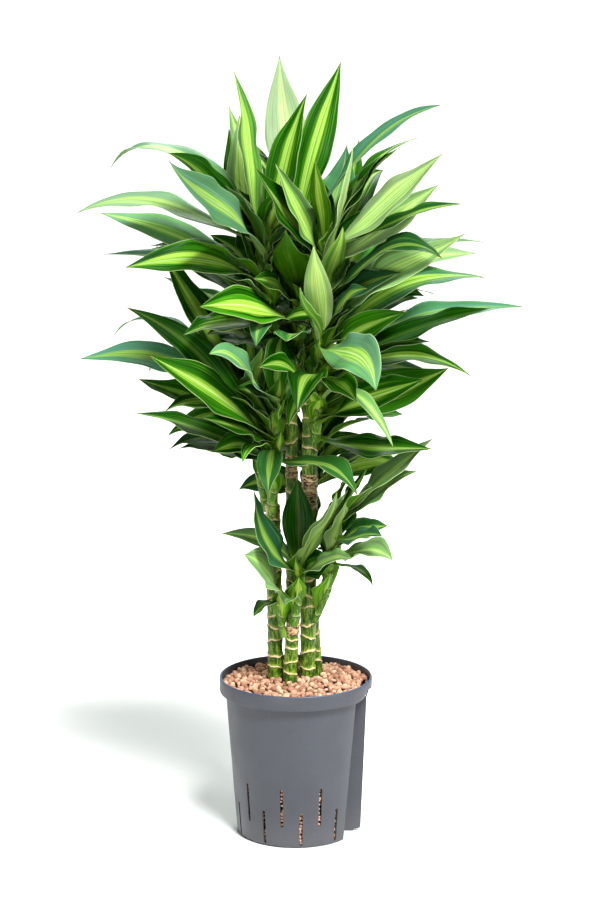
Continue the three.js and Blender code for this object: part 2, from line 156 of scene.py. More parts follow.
# materials
def tint(red, green, blue):
    def linear(value):
        share = value / 255
        return share / 12.92 if share <= 0.04045 else ((share + 0.055) / 1.055) ** 2.4
    return (linear(red), linear(green), linear(blue), 1.0)


def tintAll(colours):
    return {label: tint(*colour) for label, colour in colours.items()}


class Wire:  # a node's output, so that sums of outputs read as plain arithmetic
    def __init__(self, socket):
        self.socket, self.tree = socket, socket.id_data

    def maths(self, operation, *others):
        inputs = {0: self, **dict(enumerate(others, 1))}
        return addNode(self.tree, "Math", inputs, operation=operation)[0]

    def __add__(self, other):
        return self.maths("ADD", other)

    def __sub__(self, other):
        return self.maths("SUBTRACT", other)

    def __mul__(self, other):
        return self.maths("MULTIPLY", other)

    def __truediv__(self, other):
        return self.maths("DIVIDE", other)

    def __abs__(self):
        return self.maths("ABSOLUTE")

    def step(self, low, high, start=0.0, end=1.0):  # eases from start to end between low and high
        inputs = {"Value": self, "From Min": low, "From Max": high, "To Min": start, "To Max": end}
        return addNode(self.tree, "MapRange", inputs, interpolation_type="SMOOTHSTEP")[0]


def setInputs(node, inputs):
    for key, value in inputs.items():
        if isinstance(value, Wire):
            node.id_data.links.new(value.socket, node.inputs[key])
        else:
            node.inputs[key].default_value = value


def outputsOf(node):  # by number and by name
    wires = [Wire(socket) for socket in node.outputs]
    return {**dict(enumerate(wires)), **{wire.socket.name: wire for wire in wires}}


def addNode(tree, kind, inputs=None, **settings):
    node = tree.nodes.new("ShaderNode" + kind)
    for key, value in settings.items():
        setattr(node, key, value)
    setInputs(node, inputs or {})
    return outputsOf(node)


def mixColour(share, first, second, blend="MIX"):
    tree = next(value.tree for value in (share, first, second) if isinstance(value, Wire))
    inputs = {0: share, 6: first, 7: second}
    return addNode(tree, "Mix", inputs, data_type="RGBA", blend_type=blend)[2]


def paint(body, *layers):  # each layer is laid over the last where its mask says
    for mask, colour in layers:
        body = mixColour(mask, body, colour)
    return body


def noise(vector, scale, detail=3.0, roughness=0.55):
    inputs = {"Vector": vector, "Scale": scale, "Detail": detail, "Roughness": roughness}
    return addNode(vector.tree, "TexNoise", inputs)[0]


def stretch(vector, scale):
    return addNode(vector.tree, "Mapping", {"Vector": vector, "Scale": scale})[0]


def placeIn(tree, kind):  # Object coordinates or the piece's own UV
    return addNode(tree, "TexCoord")[kind]


def axesOf(vector):
    return addNode(vector.tree, "SeparateXYZ", {0: vector})


def attributeOf(tree, name):
    return addNode(tree, "Attribute", attribute_name=name)["Fac"]


def startGroup(name, colours, values, results):
    group = bpy.data.node_groups.new(name, "ShaderNodeTree")

    def addSockets(labels, direction, kind):
        for label in labels:
            group.interface.new_socket(name=label, in_out=direction, socket_type="NodeSocket" + kind)
    addSockets(colours, "INPUT", "Color")
    addSockets(values, "INPUT", "Float")
    addSockets(("Colour",), "OUTPUT", "Color")
    addSockets(results, "OUTPUT", "Float")
    return group, outputsOf(group.nodes.new("NodeGroupInput")), group.nodes.new("NodeGroupOutput")


def placeGroup(tree, group, inputs):
    return addNode(tree, "Group", inputs, node_tree=group)


def newMaterial(name, roughness, specular):
    material = bpy.data.materials.new(name)
    material.use_nodes = True
    shader = material.node_tree.nodes["Principled BSDF"]
    setInputs(shader, {"Roughness": roughness, "Specular IOR Level": specular})
    return material, material.node_tree, shader


def addBump(shader, height, strength, distance):
    inputs = {"Height": height, "Strength": strength, "Distance": distance * mm}
    setInputs(shader, {"Normal": addNode(shader.id_data, "Bump", inputs)[0]})


# mottling that the pot and the granules share: a soft change of shade with small specks in it
def buildMottle():
    group, given, result = startGroup(
        "softMottle", ("Colour", "Speck Colour"), ("Patch Size", "Patch Depth", "Speck Size", "Speck Depth"),
        ("Height",))
    where = placeIn(group, "Object")
    patch = noise(where, given["Patch Size"])
    speck = noise(where, given["Speck Size"], 2.0)
    colour = paint(
        given["Colour"],
        (patch.step(0.35, 0.7) * given["Patch Depth"], (0.02, 0.02, 0.02, 1)),
        (speck.step(0.6, 0.72) * given["Speck Depth"], given["Speck Colour"]))
    setInputs(result, {"Colour": colour, "Height": patch + speck})
    return group


leafLooks = ("leafToneAndShade", "leafBand", "leafPaleAndBacklight", "leafSheen")


# the leaf's stripes, from its own map: across the leaf in U, from foot to tip in V
def buildStripes():
    group, given, result = startGroup(
        "leafStripes", ("Flank", "Flank Light", "Band", "Band Streak", "Margin", "Foot", "Pale", "Sheen"), (),
        ("Height", "Gloss"))
    flat = axesOf(placeIn(group, "UV"))
    over, along = flat[0], flat[1]
    toneAndShade, wide, paleAndBacklit, sheen = (attributeOf(group, look) for look in leafLooks)
    own = addNode(group, "CombineXYZ", {0: over, 1: along, 2: toneAndShade * 37.0})[0]
    slow = noise(stretch(own, (1.5, 1.6, 1)), 1.0) - 0.5
    broad = noise(stretch(own, (10, 0.8, 1)), 1.0, 2.0)
    fine = noise(stretch(own, (27, 1.2, 1)), 1.0, 2.0)
    across = abs(over - 0.5 + slow * 0.15) * 2.0
    edge = abs(over - 0.5) * 2.0
    reach = (wide * 0.42 + 0.08) * along.step(0.62, 1.0, 1.0, 0.45) + slow * 0.25
    band = (across - reach + (broad - 0.5) * 0.9).step(-0.07, 0.14, 1.0, 0.0)
    thread = fine.step(0.44, 0.62)
    bandColour = paint(
        given["Band"],
        (thread * 0.75, given["Band Streak"]),
        (edge.step(0.02, 0.05, 0.6, 0.0), given["Margin"]))
    body = paint(
        given["Flank"],
        # darker shade values, partly painted shade, hold back the light flank streaks here and the margin
        # below
        (broad.step(0.38, 0.66) * toneAndShade.step(0.0, 0.7, 0.15, 1.0), given["Flank Light"]),
        (thread * 0.35, given["Flank Light"]),
        (fine.step(0.6, 0.68, 0.0, 0.7) * wide, given["Band"]),
        # painted reflection: a bluish sheen on the flanks here, and a faint one over the whole leaf at the
        # end
        (sheen * broad.step(0.38, 0.62, 0.85, 0.3), given["Sheen"]),
        (band * wide.step(0.0, 0.4, 0.15, 1.0), bandColour),
        (edge.step(0.965, 0.99) * toneAndShade.step(0.0, 0.4, 0.2, 0.6), given["Margin"]),
        (along.step(0.03, 0.26, 0.85, 0.0), given["Foot"]),
        # painted light: pale patches where a leaf is lit through from behind; the same mark makes some
        # undersides paler
        (paleAndBacklit * fine.step(0.4, 0.65, 0.75, 0.45), given["Pale"]),
        (sheen * 0.15, given["Sheen"]))
    # painted shade: each leaf is darkened or lightened as a whole by its shade value, with slow patches of
    # random tone
    shade = toneAndShade.step(0.0, 1.0, 0.6, 1.25) + slow * 0.5
    shade = addNode(group, "CombineColor", {0: shade, 1: shade, 2: shade})[0]
    body = mixColour(1.0, body, shade, "MULTIPLY")
    brownTip = along.step(0.975, 0.995)
    setInputs(result, {
        "Colour": mixColour(brownTip, body, tint(120, 96, 52)),
        "Height": edge.step(0.0, 0.06) * 0.8 + fine,
        "Gloss": broad.step(0.3, 0.7, 0.34, 0.5)})
    return group


# the canes' long fibres and the wavy rings where leaves have fallen off
def buildRings():
    group, given, result = startGroup(
        "ringedBark", ("Green", "Streak", "Scar", "Bark"), ("Scar Width",), ("Height",))
    where = placeIn(group, "Object")
    age = attributeOf(group, "barkAge")
    wander = (noise(where, 170.0, 2.0) - 0.5) * 0.24
    turn = (attributeOf(group, "ringPhase") + wander + 0.5).maths("FRACT")
    uneven = noise(where, 120.0, 1.0).step(0.35, 0.65, 0.65, 1.35)
    scar = (abs(turn - 0.5) / (uneven * given["Scar Width"])).step(0.5, 1.0, 1.0, 0.0)
    fibre = noise(stretch(where, (1, 1, 0.14)), 480.0, 3.0)
    light = noise(stretch(where, (1, 1, 0.5)), 110.0, 3.0)
    above = turn.step(0.5, 0.82, 0.5, 0.0) * turn.step(0.49, 0.51)
    # painted shade: a dark line just below each ring
    shadeBelowRing = turn.step(0.3, 0.46, 0.0, 0.6) * turn.step(0.49, 0.51, 1.0, 0.0)
    speck = noise(where, 700.0, 2.0).step(0.66, 0.72, 0.0, 0.8)
    scab = noise(stretch(where, (1, 1, 2.4)), 200.0, 4.0, 0.7)
    oldBark = mixColour(scab.step(0.42, 0.56), tint(30, 24, 14), given["Bark"])
    body = paint(
        given["Green"],
        (fibre.step(0.45, 0.72, 0.0, 0.75), given["Streak"]),
        (light.step(0.48, 0.68, 0.0, 0.6), given["Streak"]),
        (above, given["Streak"]),
        (shadeBelowRing, tint(24, 40, 6)),
        (speck, given["Scar"]),
        ((age + (scab - 0.5) * 0.9).step(0.4, 0.6), oldBark),
        (scar, given["Scar"]))
    setInputs(result, {"Colour": body, "Height": fibre * 0.5 + (scar * 0.8 + scab * age * 1.5)})
    return group


mottle = buildMottle()
stripes = buildStripes()
ringedBark = buildRings()

# pot
pot = {
    "height": 190, "rim": 90, "shoulder": 83, "foot": 70, "wall": 2, "collar": 18, "sides": 160,
    "floorTop": 2.5, "innerRim": 87.5, "bevel": 0.35, "bevelAngle": 40, "smooth": 32, "toolReach": 30,
    "slotWidth": 3.6, "slotPitch": 18, "slotsInRow": 10, "slotFree": (50, 98),
    "lowSlot": (5, 2.8, 44), "highSlot": (23, 26, 73),  # first azimuth, bottom, top
    "notchFootX": 56, "notchHeadX": 70, "notchFarY": -8, "notchTop": 168,
    "flangeFoot": 3, "flangeFootX": 77, "flangeHeadX": 83.5,
    "skirtFrom": 54, "skirtTo": 93, "skirtRise": 9.5, "skirtDepth": 1.5, "skirtSteps": 24, "shelf": 1,
    "skirtWiden": 0.7,  # degrees that 1 mm takes up at the skirt's radius
    "toolDrop": 5, "skirtDrop": 10, "slotOutside": 25, "slotInside": 15, "slotArcs": 6, "merge": 0.001,
}
collarFoot = pot["height"] - pot["collar"]
skirtTop = pot["height"] - pot["skirtRise"]
innerShoulder = pot["shoulder"] - pot["wall"]
innerFoot = pot["foot"] - pot["wall"]
mouldLine = {"aside": 0.026, "core": 0.003, "edge": 0.007, "fade": 2}  # radians beside a slot; fade in mm


def potPlastic():
    material, tree, shader = newMaterial("potPlastic", roughness=0.46, specular=0.42)
    grain = placeGroup(tree, mottle, {
        "Colour": tint(62, 65, 72), "Patch Size": 22.0, "Patch Depth": 0.12, "Speck Size": 900.0,
        "Speck Depth": 0.12, "Speck Colour": tint(140, 144, 150)})
    where = axesOf(placeIn(tree, "Object"))
    height = pot["height"]
    firstSlot, slotFoot = pot["highSlot"][:2]
    colour = paint(
        grain["Colour"],
        (where[2].step((height - 1.5) * mm, (height - 0.5) * mm), tint(58, 72, 96)),  # the lip, painted a bluish highlight
        (where[2].step(0.0, 0.05, 0.1, 0.0), tint(140, 136, 132)))  # dust at the foot
    turn = where[0].maths("ARCTAN2", where[1] * -1.0)
    first, halfPitch = math.radians(firstSlot), math.radians(pot["slotPitch"])
    local = turn.maths("WRAP", first + halfPitch, first - halfPitch) - first
    line = abs(abs(local) - mouldLine["aside"]).step(mouldLine["core"], mouldLine["edge"], 1.0, 0.0)
    low, high = slotFoot - mouldLine["fade"], slotFoot + mouldLine["fade"]
    line = line * where[2].step(low * mm, high * mm, 1.0, 0.0)
    addBump(shader, grain["Height"] * 0.06 + line, strength=0.5, distance=0.5)
    setInputs(shader, {"Base Color": colour, "Roughness": grain["Height"].step(0.8, 1.3, 0.4, 0.54)})
    return material


def clayPebble():
    material, tree, shader = newMaterial("clayPebble", roughness=0.92, specular=0.25)
    toneAndShade = attributeOf(tree, "pebbleToneAndShade")
    grain = placeGroup(tree, mottle, {
        "Colour": paint(tint(152, 104, 80), (toneAndShade.step(0.0, 0.6), tint(208, 158, 128)),
                        (toneAndShade.step(0.7, 1.0), tint(228, 190, 158))),
        "Patch Size": 320.0, "Patch Depth": 0.35, "Speck Size": 1400.0, "Speck Depth": 0.5,
        "Speck Colour": tint(232, 210, 190)})
    setInputs(shader, {"Base Color": grain["Colour"]})
    addBump(shader, grain["Height"], strength=0.7, distance=0.6)
    return material


def clayShadow():
    material, tree, shader = newMaterial("clayShadow", roughness=1.0, specular=0.1)
    grain = placeGroup(tree, mottle, {
        "Colour": tint(52, 36, 28), "Patch Size": 200.0, "Patch Depth": 0.5, "Speck Size": 900.0,
        "Speck Depth": 0.3, "Speck Colour": tint(110, 78, 60)})
    setInputs(shader, {"Base Color": grain["Colour"]})
    return material


def barkMaterial(name, scarWidth, roughness, colours):
    material, tree, shader = newMaterial(name, roughness, specular=0.28)
    bark = placeGroup(tree, ringedBark, {**tintAll(colours), "Scar Width": scarWidth})
    setInputs(shader, {"Base Color": bark["Colour"]})
    addBump(shader, bark["Height"], strength=0.6, distance=0.7)
    return material


leafGlow = 0.17  # the share of a leaf's look that is light coming through it


def leafMaterial(name, colours):
    material, tree, shader = newMaterial(name, roughness=0.4, specular=0.08)
    leaf = placeGroup(tree, stripes, tintAll(colours))
    setInputs(shader, {"Base Color": leaf["Colour"], "Roughness": leaf["Gloss"]})
    addBump(shader, leaf["Height"], strength=0.35, distance=0.4)
    warmed = mixColour(1.0, leaf["Colour"], (1.0, 1.0, 0.45, 1), "MULTIPLY")
    through = addNode(tree, "BsdfTranslucent", {"Color": warmed})[0]
    mixed = addNode(tree, "MixShader", {0: leafGlow, 1: outputsOf(shader)[0], 2: through})[0]
    setInputs(tree.nodes["Material Output"], {"Surface": mixed})
    return material


finishes = {
    "pot": potPlastic(),
    "pebble": clayPebble(),
    "shadow": clayShadow(),
    "cane": barkMaterial("caneBark", 0.075, 0.46, {
        "Green": (32, 76, 0), "Streak": (150, 180, 50), "Scar": (226, 200, 150), "Bark": (208, 168, 122)}),
    "stem": barkMaterial("stemSkin", 0.03, 0.5, {
        "Green": (52, 98, 4), "Streak": (132, 168, 56), "Scar": (180, 190, 120), "Bark": (176, 132, 96)}),
    # in both leaf materials Pale is painted light through a leaf lit from behind, also used for paler
    # undersides, and Sheen is a painted bluish reflection
    "upper": leafMaterial("leafUpper", {
        "Flank": (0, 58, 0), "Flank Light": (66, 146, 14), "Band": (168, 212, 78),
        "Band Streak": (72, 152, 4), "Margin": (214, 232, 166), "Foot": (108, 156, 30),
        "Pale": (222, 240, 190), "Sheen": (104, 170, 142)}),
    "under": leafMaterial("leafUnder", {
        "Flank": (44, 100, 0), "Flank Light": (102, 158, 30), "Band": (164, 200, 72),
        "Band Streak": (116, 166, 24), "Margin": (206, 222, 140), "Foot": (114, 152, 36),
        "Pale": (222, 234, 186), "Sheen": (116, 164, 128)}),
}
print("materials made:", len(finishes))


def aroundPoint(azimuth, radius):  # azimuth from the front towards +X
    turn = math.radians(azimuth)
    return radius * math.sin(turn), -radius * math.cos(turn)


def turnProfile(name, profile, sides):
    # a closed turned solid: each ring is extruded from the one before it
    radius, level = profile[0]
    clearSelection()
    bpy.ops.mesh.primitive_circle_add(
        vertices=sides, radius=radius * mm, fill_type="NGON", location=(0, 0, level * mm))
    piece = bpy.context.object
    piece.name = name
    openMesh("SELECT")
    for nextRadius, nextLevel in profile[1:]:
        bpy.ops.mesh.extrude_region_move(
            TRANSFORM_OT_translate={"value": (0, 0, (nextLevel - level) * mm)})
        grow = nextRadius / radius
        bpy.ops.transform.resize(value=(grow, grow, 1), center_override=(0, 0, 0))
        radius, level = nextRadius, nextLevel
    closeMesh()
    applyPlace(piece)
    mergeDoubles(piece)
    return piece


def raiseOutline(name, outline, low, high, axis="Z"):
    # a flat outline of points, raised along Z, or from one Y to another for an outline in X and Z
    clearSelection()
    bpy.ops.mesh.primitive_circle_add(vertices=len(outline), radius=0.01, fill_type="NGON")
    piece = bpy.context.object
    piece.name = name
    for vertex, (first, second) in zip(piece.data.vertices, outline):
        vertex.co = Vector((first, second, low) if axis == "Z" else (first, low, second)) * mm
    openMesh("SELECT")
    reach = (high - low) * mm
    bpy.ops.mesh.extrude_region_move(
        TRANSFORM_OT_translate={"value": (0, 0, reach) if axis == "Z" else (0, reach, 0)})
    closeMesh()
    mergeDoubles(piece)
    return piece


def notchWallX(level):
    return pot["notchFootX"] + (pot["notchHeadX"] - pot["notchFootX"]) * level / pot["notchTop"]


def notchTool(grown):
    low, far, top = -pot["toolDrop"], pot["rim"] + pot["toolReach"], pot["notchTop"]
    outline = [
        (notchWallX(low) - grown, low), (far, low), (far, top + grown),
        (notchWallX(top) - grown, top + grown)]
    return raiseOutline("notchTool", outline, -pot["rim"], pot["notchFarY"] + grown, "Y")


def skirtTool(grown, top):
    inner, far = pot["shoulder"] + pot["skirtDepth"] - grown, pot["rim"] + pot["toolReach"]
    wider, steps = pot["skirtWiden"] * grown, pot["skirtSteps"]
    start, end = pot["skirtFrom"] - wider, pot["skirtTo"] + wider
    outline = [aroundPoint(start + (end - start) * i / steps, inner) for i in range(steps + 1)]
    outline += [aroundPoint(end, far), aroundPoint(start, far)]
    return raiseOutline("skirtTool", outline, pot["notchTop"] - pot["skirtDrop"], top)


def slotTool(azimuth, bottom, top):
    half, arcs = pot["slotWidth"] / 2, pot["slotArcs"]
    outside, inside = pot["foot"] + pot["slotOutside"], pot["foot"] - pot["slotInside"]
    turns = [math.pi * i / arcs for i in range(arcs + 1)]
    outline = [(half * math.cos(turn), top - half + half * math.sin(turn)) for turn in turns]
    outline += [(-half * math.cos(turn), bottom + half - half * math.sin(turn)) for turn in turns]
    tool = raiseOutline("slotTool", outline, -outside, -inside, "Y")
    tool.rotation_euler = (0, 0, math.radians(azimuth))
    applyPlace(tool)
    return tool


def slotPlaces():
    for first, bottom, top in (pot["lowSlot"], pot["highSlot"]):
        for step in range(pot["slotsInRow"]):
            azimuth = (first + 2 * pot["slotPitch"] * step) % 360
            if not pot["slotFree"][0] < azimuth < pot["slotFree"][1]:
                yield azimuth, bottom, top


def flangeWall():
    low, corner, knee = pot["flangeFoot"], 3, collarFoot - 6
    outline = [
        (notchWallX(low) - 1, low), (pot["flangeFootX"] - corner, low), (pot["flangeFootX"] - 0.8, low + 0.8),
        (pot["flangeFootX"], low + corner), (pot["flangeHeadX"], knee), (pot["rim"] - 2, skirtTop + 0.5),
        (pot["shoulder"] + 0.5, skirtTop + 0.5), (pot["shoulder"] - 0.4, knee), (notchWallX(knee) - 1, knee)]
    return raiseOutline("flangeWall", outline, pot["notchFarY"], pot["notchFarY"] + pot["wall"], "Y")


def makePot():
    # radius and level of each profile point, set off from the named sizes where an edge is rounded
    rim, inner, height = pot["rim"], pot["innerRim"], pot["height"]
    shoulder, foot, floorTop = pot["shoulder"], pot["foot"], pot["floorTop"]
    body = turnProfile("pottedBody", [
        (foot - 4, 0), (foot - 2.2, 0.5), (foot - 0.8, 2), (foot, 5), (shoulder - 0.3, collarFoot - 1.6),
        (shoulder + 0.6, collarFoot - 0.7), (rim - 1.8, collarFoot), (rim - 0.5, collarFoot + 0.6),
        (rim, collarFoot + 2), (rim, height - 1.2), (rim - 0.3, height - 0.4), (rim - 0.8, height)],
        pot["sides"])
    hollow = turnProfile("potHollow", [
        (innerFoot - 4, floorTop), (innerFoot, floorTop + 3), (innerShoulder, collarFoot - 2),
        (inner, collarFoot + 3), (inner, height - 0.6), (inner + 0.5, height + 0.01),
        (inner + 0.5, height + 5)], pot["sides"])
    cutWith(hollow, notchTool(pot["wall"]))
    cutWith(hollow, skirtTool(pot["wall"], skirtTop + pot["shelf"]))
    cutWith(body, notchTool(0))
    cutWith(body, skirtTool(0, skirtTop))
    cutWith(body, hollow)
    cutWith(body, flangeWall(), "UNION")
    cutWith(body, joinPieces([slotTool(*place) for place in slotPlaces()], "slotTools"))
    applyModifier(body, "BEVEL", width=pot["bevel"] * mm, segments=2, limit_method="ANGLE",
                  angle_limit=math.radians(pot["bevelAngle"]))
    mergeDoubles(body, pot["merge"])
    smoothByAngle(body, pot["smooth"])
    return body


potPiece = makePot()
potPiece.name = "culturePot"
potPiece.data.materials.append(finishes["pot"])
print("pot made:", len(potPiece.data.polygons), "faces")


# granules: pebbles over the top and behind the slots, round a dark core that is painted shade between them
granules = {
    "level": 181, "heap": 4, "pitch": 6.5, "rowShare": 0.87, "jitter": 1.7, "radius": (2.2, 5.1),
    "variants": 6, "uneven": (-2.4, 1.6), "sink": 0.4, "rimGap": 0.8, "pulledGap": 1.0, "rimShare": 0.8,
    "stray": 1.5, "skirtTurn": 3, "skirtGap": 2, "caneShare": 0.45,
    "coreInset": 6, "coreLevel": 175, "coreHub": 30, "coreRise": 3, "coreSides": 64,
    "coreSkirtRise": 5,
}
# pebbles behind the slots keep a tone of 0.5 and up: painted light on pebbles that lie in the wall's shade
slotFill = {
    "abreast": (-2, -1, 0, 1, 2), "spread": 4.6, "sideJitter": 1.2, "radius": (2.1, 3.2), "gap": 0.3,
    "inset": (1.0, 1.15), "levelJitter": 1.5, "pitch": 5.6, "pitchShare": (0.75, 1.1), "darkest": 0.5,
}
pebbleForm = {  # lumps are waves across the pebble: how deep they are, and how close together
    "deep": (0.72, 0.95), "tall": (0.6, 0.85), "phases": 6, "leastUp": 0.6,
    "depths": (0.09, 0.08, 0.05), "waves": (2.3, 2.1, 2.6, 1.9, 4.4),
}
fullTurn = 6.28  # radians
dice = random.Random(7)


def jitter(reach):
    return dice.uniform(-reach, reach)


def pebbleVariant(index):
    clearSelection()
    bpy.ops.mesh.primitive_ico_sphere_add(subdivisions=2, radius=1)
    pebble = bpy.context.object
    deep, tall = dice.uniform(*pebbleForm["deep"]), dice.uniform(*pebbleForm["tall"])
    turns = [dice.uniform(0, fullTurn) for _ in range(pebbleForm["phases"])]
    (broad, upper, small), waves = pebbleForm["depths"], pebbleForm["waves"]
    for vertex in pebble.data.vertices:
        x, y, z = vertex.co
        lump = 1 + broad * math.sin(waves[0] * x + turns[0]) * math.sin(waves[1] * y + turns[1])
        lump += upper * math.sin(waves[2] * z + turns[2] + waves[3] * x)
        lump += small * math.sin(waves[4] * y + turns[3])
        vertex.co = Vector((x, y * deep, z * tall)) * lump
    bpy.ops.object.shade_smooth()
    pebble.name = f"pebbleVariant{index}"
    return pebble


def layPebble(variant, place, size, darkest=0.0):
    pebble = copyPiece(variant)
    axis = (jitter(1), jitter(1), pebbleForm["leastUp"])
    spin = Quaternion(axis, dice.uniform(0, fullTurn)).normalized()
    matrix = Matrix.Translation(Vector(place) * mm) @ spin.to_matrix().to_4x4() @ Matrix.Scale(size * mm, 4)
    pebble.data.transform(matrix)
    toneAndShade = dice.uniform(darkest, 1)
    markPoints(pebble, "pebbleToneAndShade", [toneAndShade] * len(pebble.data.vertices))
    pebble.data.materials.append(finishes["pebble"])
    return pebble


def wallRadius(level):  # inner face of the pot's wall
    share = (level - pot["floorTop"]) / (collarFoot - 2 - pot["floorTop"])
    return innerFoot + (innerShoulder - innerFoot) * min(share, 1)


def clearOfSkirt(x, y, away, size):
    turn = math.degrees(math.atan2(x, -y))
    inTurn = pot["skirtFrom"] - granules["skirtTurn"] < turn < pot["skirtTo"] + granules["skirtTurn"]
    return not (inTurn and away > pot["shoulder"] - granules["skirtGap"] - size)


def topPebbles(variants, caneFeet):
    pebbles = []
    pitch, inner = granules["pitch"], pot["innerRim"]
    rows = int(inner / (pitch * granules["rowShare"])) + 1
    places = [(row, column) for row in range(-rows, rows + 1) for column in range(-rows - 2, rows + 3)]
    for row, column in places:
        x = (column + (row % 2) / 2) * pitch + jitter(granules["jitter"])
        y = row * pitch * granules["rowShare"] + jitter(granules["jitter"])
        size = dice.uniform(*granules["radius"])
        away = math.hypot(x, y)
        if away > inner + granules["stray"]:
            continue
        if away > inner - granules["rimGap"] - size * granules["rimShare"]:
            pull = (inner - granules["pulledGap"] - size * granules["rimShare"]) / away
            x, y, away = x * pull, y * pull, away * pull
        near = min(math.hypot(x - caneX, y - caneY) - radius for caneX, caneY, radius in caneFeet)
        if clearOfSkirt(x, y, away, size) and near >= size * granules["caneShare"]:
            lift = granules["heap"] * (1 - away / inner) + dice.uniform(*granules["uneven"])
            place = (x, y, granules["level"] + lift - granules["sink"])
            pebbles.append(layPebble(dice.choice(variants), place, size))
    return pebbles


def slotPebbles(variants, azimuth, bottom, top):
    pebbles = []
    level = bottom + 1
    while level < top:
        for place in slotFill["abreast"]:
            size = dice.uniform(*slotFill["radius"])
            side = place * slotFill["spread"] + jitter(slotFill["sideJitter"])
            inner = wallRadius(level) - slotFill["gap"] - size * dice.uniform(*slotFill["inset"])
            x, y = aroundPoint(azimuth + math.degrees(side / inner), inner)
            z = max(level + jitter(slotFill["levelJitter"]), pot["floorTop"] + size)
            pebbles.append(layPebble(dice.choice(variants), (x, y, z), size, slotFill["darkest"]))
        level += slotFill["pitch"] * dice.uniform(*slotFill["pitchShare"])
    return pebbles


def granuleCore():
    inset, top = granules["coreInset"], granules["coreLevel"]
    core = turnProfile("granuleCore", [
        (innerFoot - inset, pot["floorTop"] + 1), (innerShoulder - inset, collarFoot - 2),
        (pot["innerRim"] - 2, top), (granules["coreHub"], top + granules["coreRise"])], granules["coreSides"])
    cutWith(core, notchTool(pot["wall"] + inset / 2))
    cutWith(core, skirtTool(pot["wall"] + 1, skirtTop + granules["coreSkirtRise"]))
    markPoints(core, "pebbleToneAndShade", [0.0] * len(core.data.vertices))
    core.data.materials.append(finishes["shadow"])
    return core


def makeGranules(caneFeet):
    variants = [pebbleVariant(i) for i in range(granules["variants"])]
    pebbles = topPebbles(variants, caneFeet)
    for place in slotPlaces():
        pebbles += slotPebbles(variants, *place)
    core = granuleCore()
    for variant in variants:
        bpy.data.objects.remove(variant)
    return joinPieces([core] + pebbles, "clayGranules"), len(pebbles)


# canes: path up the middle line, radius, ring spacing, and a stretch of old bark from one level to another
caneFoot, rimLevel = 105, pot["height"]
pebbleLevel = 183  # where pebbles keep clear of the canes
canes = {
    "cane_left": {
        "path": [(-24, 12, caneFoot), (-24, 12, rimLevel), (-27, 12, 394)], "radius": 8.6, "pitch": 16.5,
        "bark": (380, 400)},
    "cane_short": {
        "path": [(-9, -2, caneFoot), (-7, -1, rimLevel), (-3, 0, 262)], "radius": 7.8, "pitch": 14,
        "bark": (238, 258)},
    "cane_middle": {
        "path": [(-4, 35, caneFoot), (-4, 35, rimLevel), (-5, 34, 508)], "radius": 6.8, "pitch": 19,
        "bark": (420, 450)},
    "cane_tall": {
        "path": [(12, 14, caneFoot), (14, 15, rimLevel), (17, 15, 528)], "radius": 8.8, "pitch": 17.5,
        "bark": (386, 432)},
    "cane_back": {
        "path": [(26, 33, caneFoot), (24, 33, rimLevel), (14, 40, 332)], "radius": 7, "pitch": 17,
        "bark": (322, 340)},
}
stalkForm = {
    "sides": 28, "step": 2.2, "mostCuts": 100, "flare": 1.1, "flarePower": 2.2, "wave": 0.17, "waveTurn": 2.4,
    "ripple": 0.035, "rippleShift": 1.7, "lump": 0.25, "lumpPitch": 0.05, "veerMean": 0.6,
    "capInset": 1.2, "capRise": 1.0, "barkFade": 4.0, "smooth": 50,
}


def pathPoint(path, level):
    level = min(max(level, path[0][2]), path[-1][2])
    spot = 0
    while spot < len(path) - 2 and level > path[spot + 1][2]:
        spot += 1
    low, high = Vector(path[spot]), Vector(path[spot + 1])
    return low.lerp(high, (level - low.z) / (high.z - low.z))


def ringedCylinder(name, cuts):
    # a cylinder whose sides are cut into short rings
    clearSelection()
    bpy.ops.mesh.primitive_cylinder_add(vertices=stalkForm["sides"], radius=1, depth=1)
    stalk = bpy.context.object
    stalk.name = name
    mesh = stalk.data
    openMesh("DESELECT", "EDGE")
    closeMesh()
    for edge in mesh.edges:
        low, high = (mesh.vertices[i].co.z for i in edge.vertices)
        edge.select = abs(low - high) > 0.5
    openMesh()
    bpy.ops.mesh.subdivide(number_cuts=cuts)
    bpy.ops.mesh.subdivide(number_cuts=1)
    bpy.ops.mesh.select_mode(type="VERT")
    closeMesh()
    return stalk


def raiseCap(stalk):
    openMesh("DESELECT")
    closeMesh()
    crown = max(stalk.data.polygons, key=lambda face: face.center.z)
    crown.select = True
    openMesh(by="FACE")
    bpy.ops.mesh.inset(thickness=stalkForm["capInset"] * mm)
    bpy.ops.transform.translate(value=(0, 0, stalkForm["capRise"] * mm))
    bpy.ops.mesh.select_mode(type="VERT")
    closeMesh()


def barkShare(level, low, high):
    fade = stalkForm["barkFade"]
    return max(0.0, min(1.0, (level - low) / fade, (high - level) / fade))


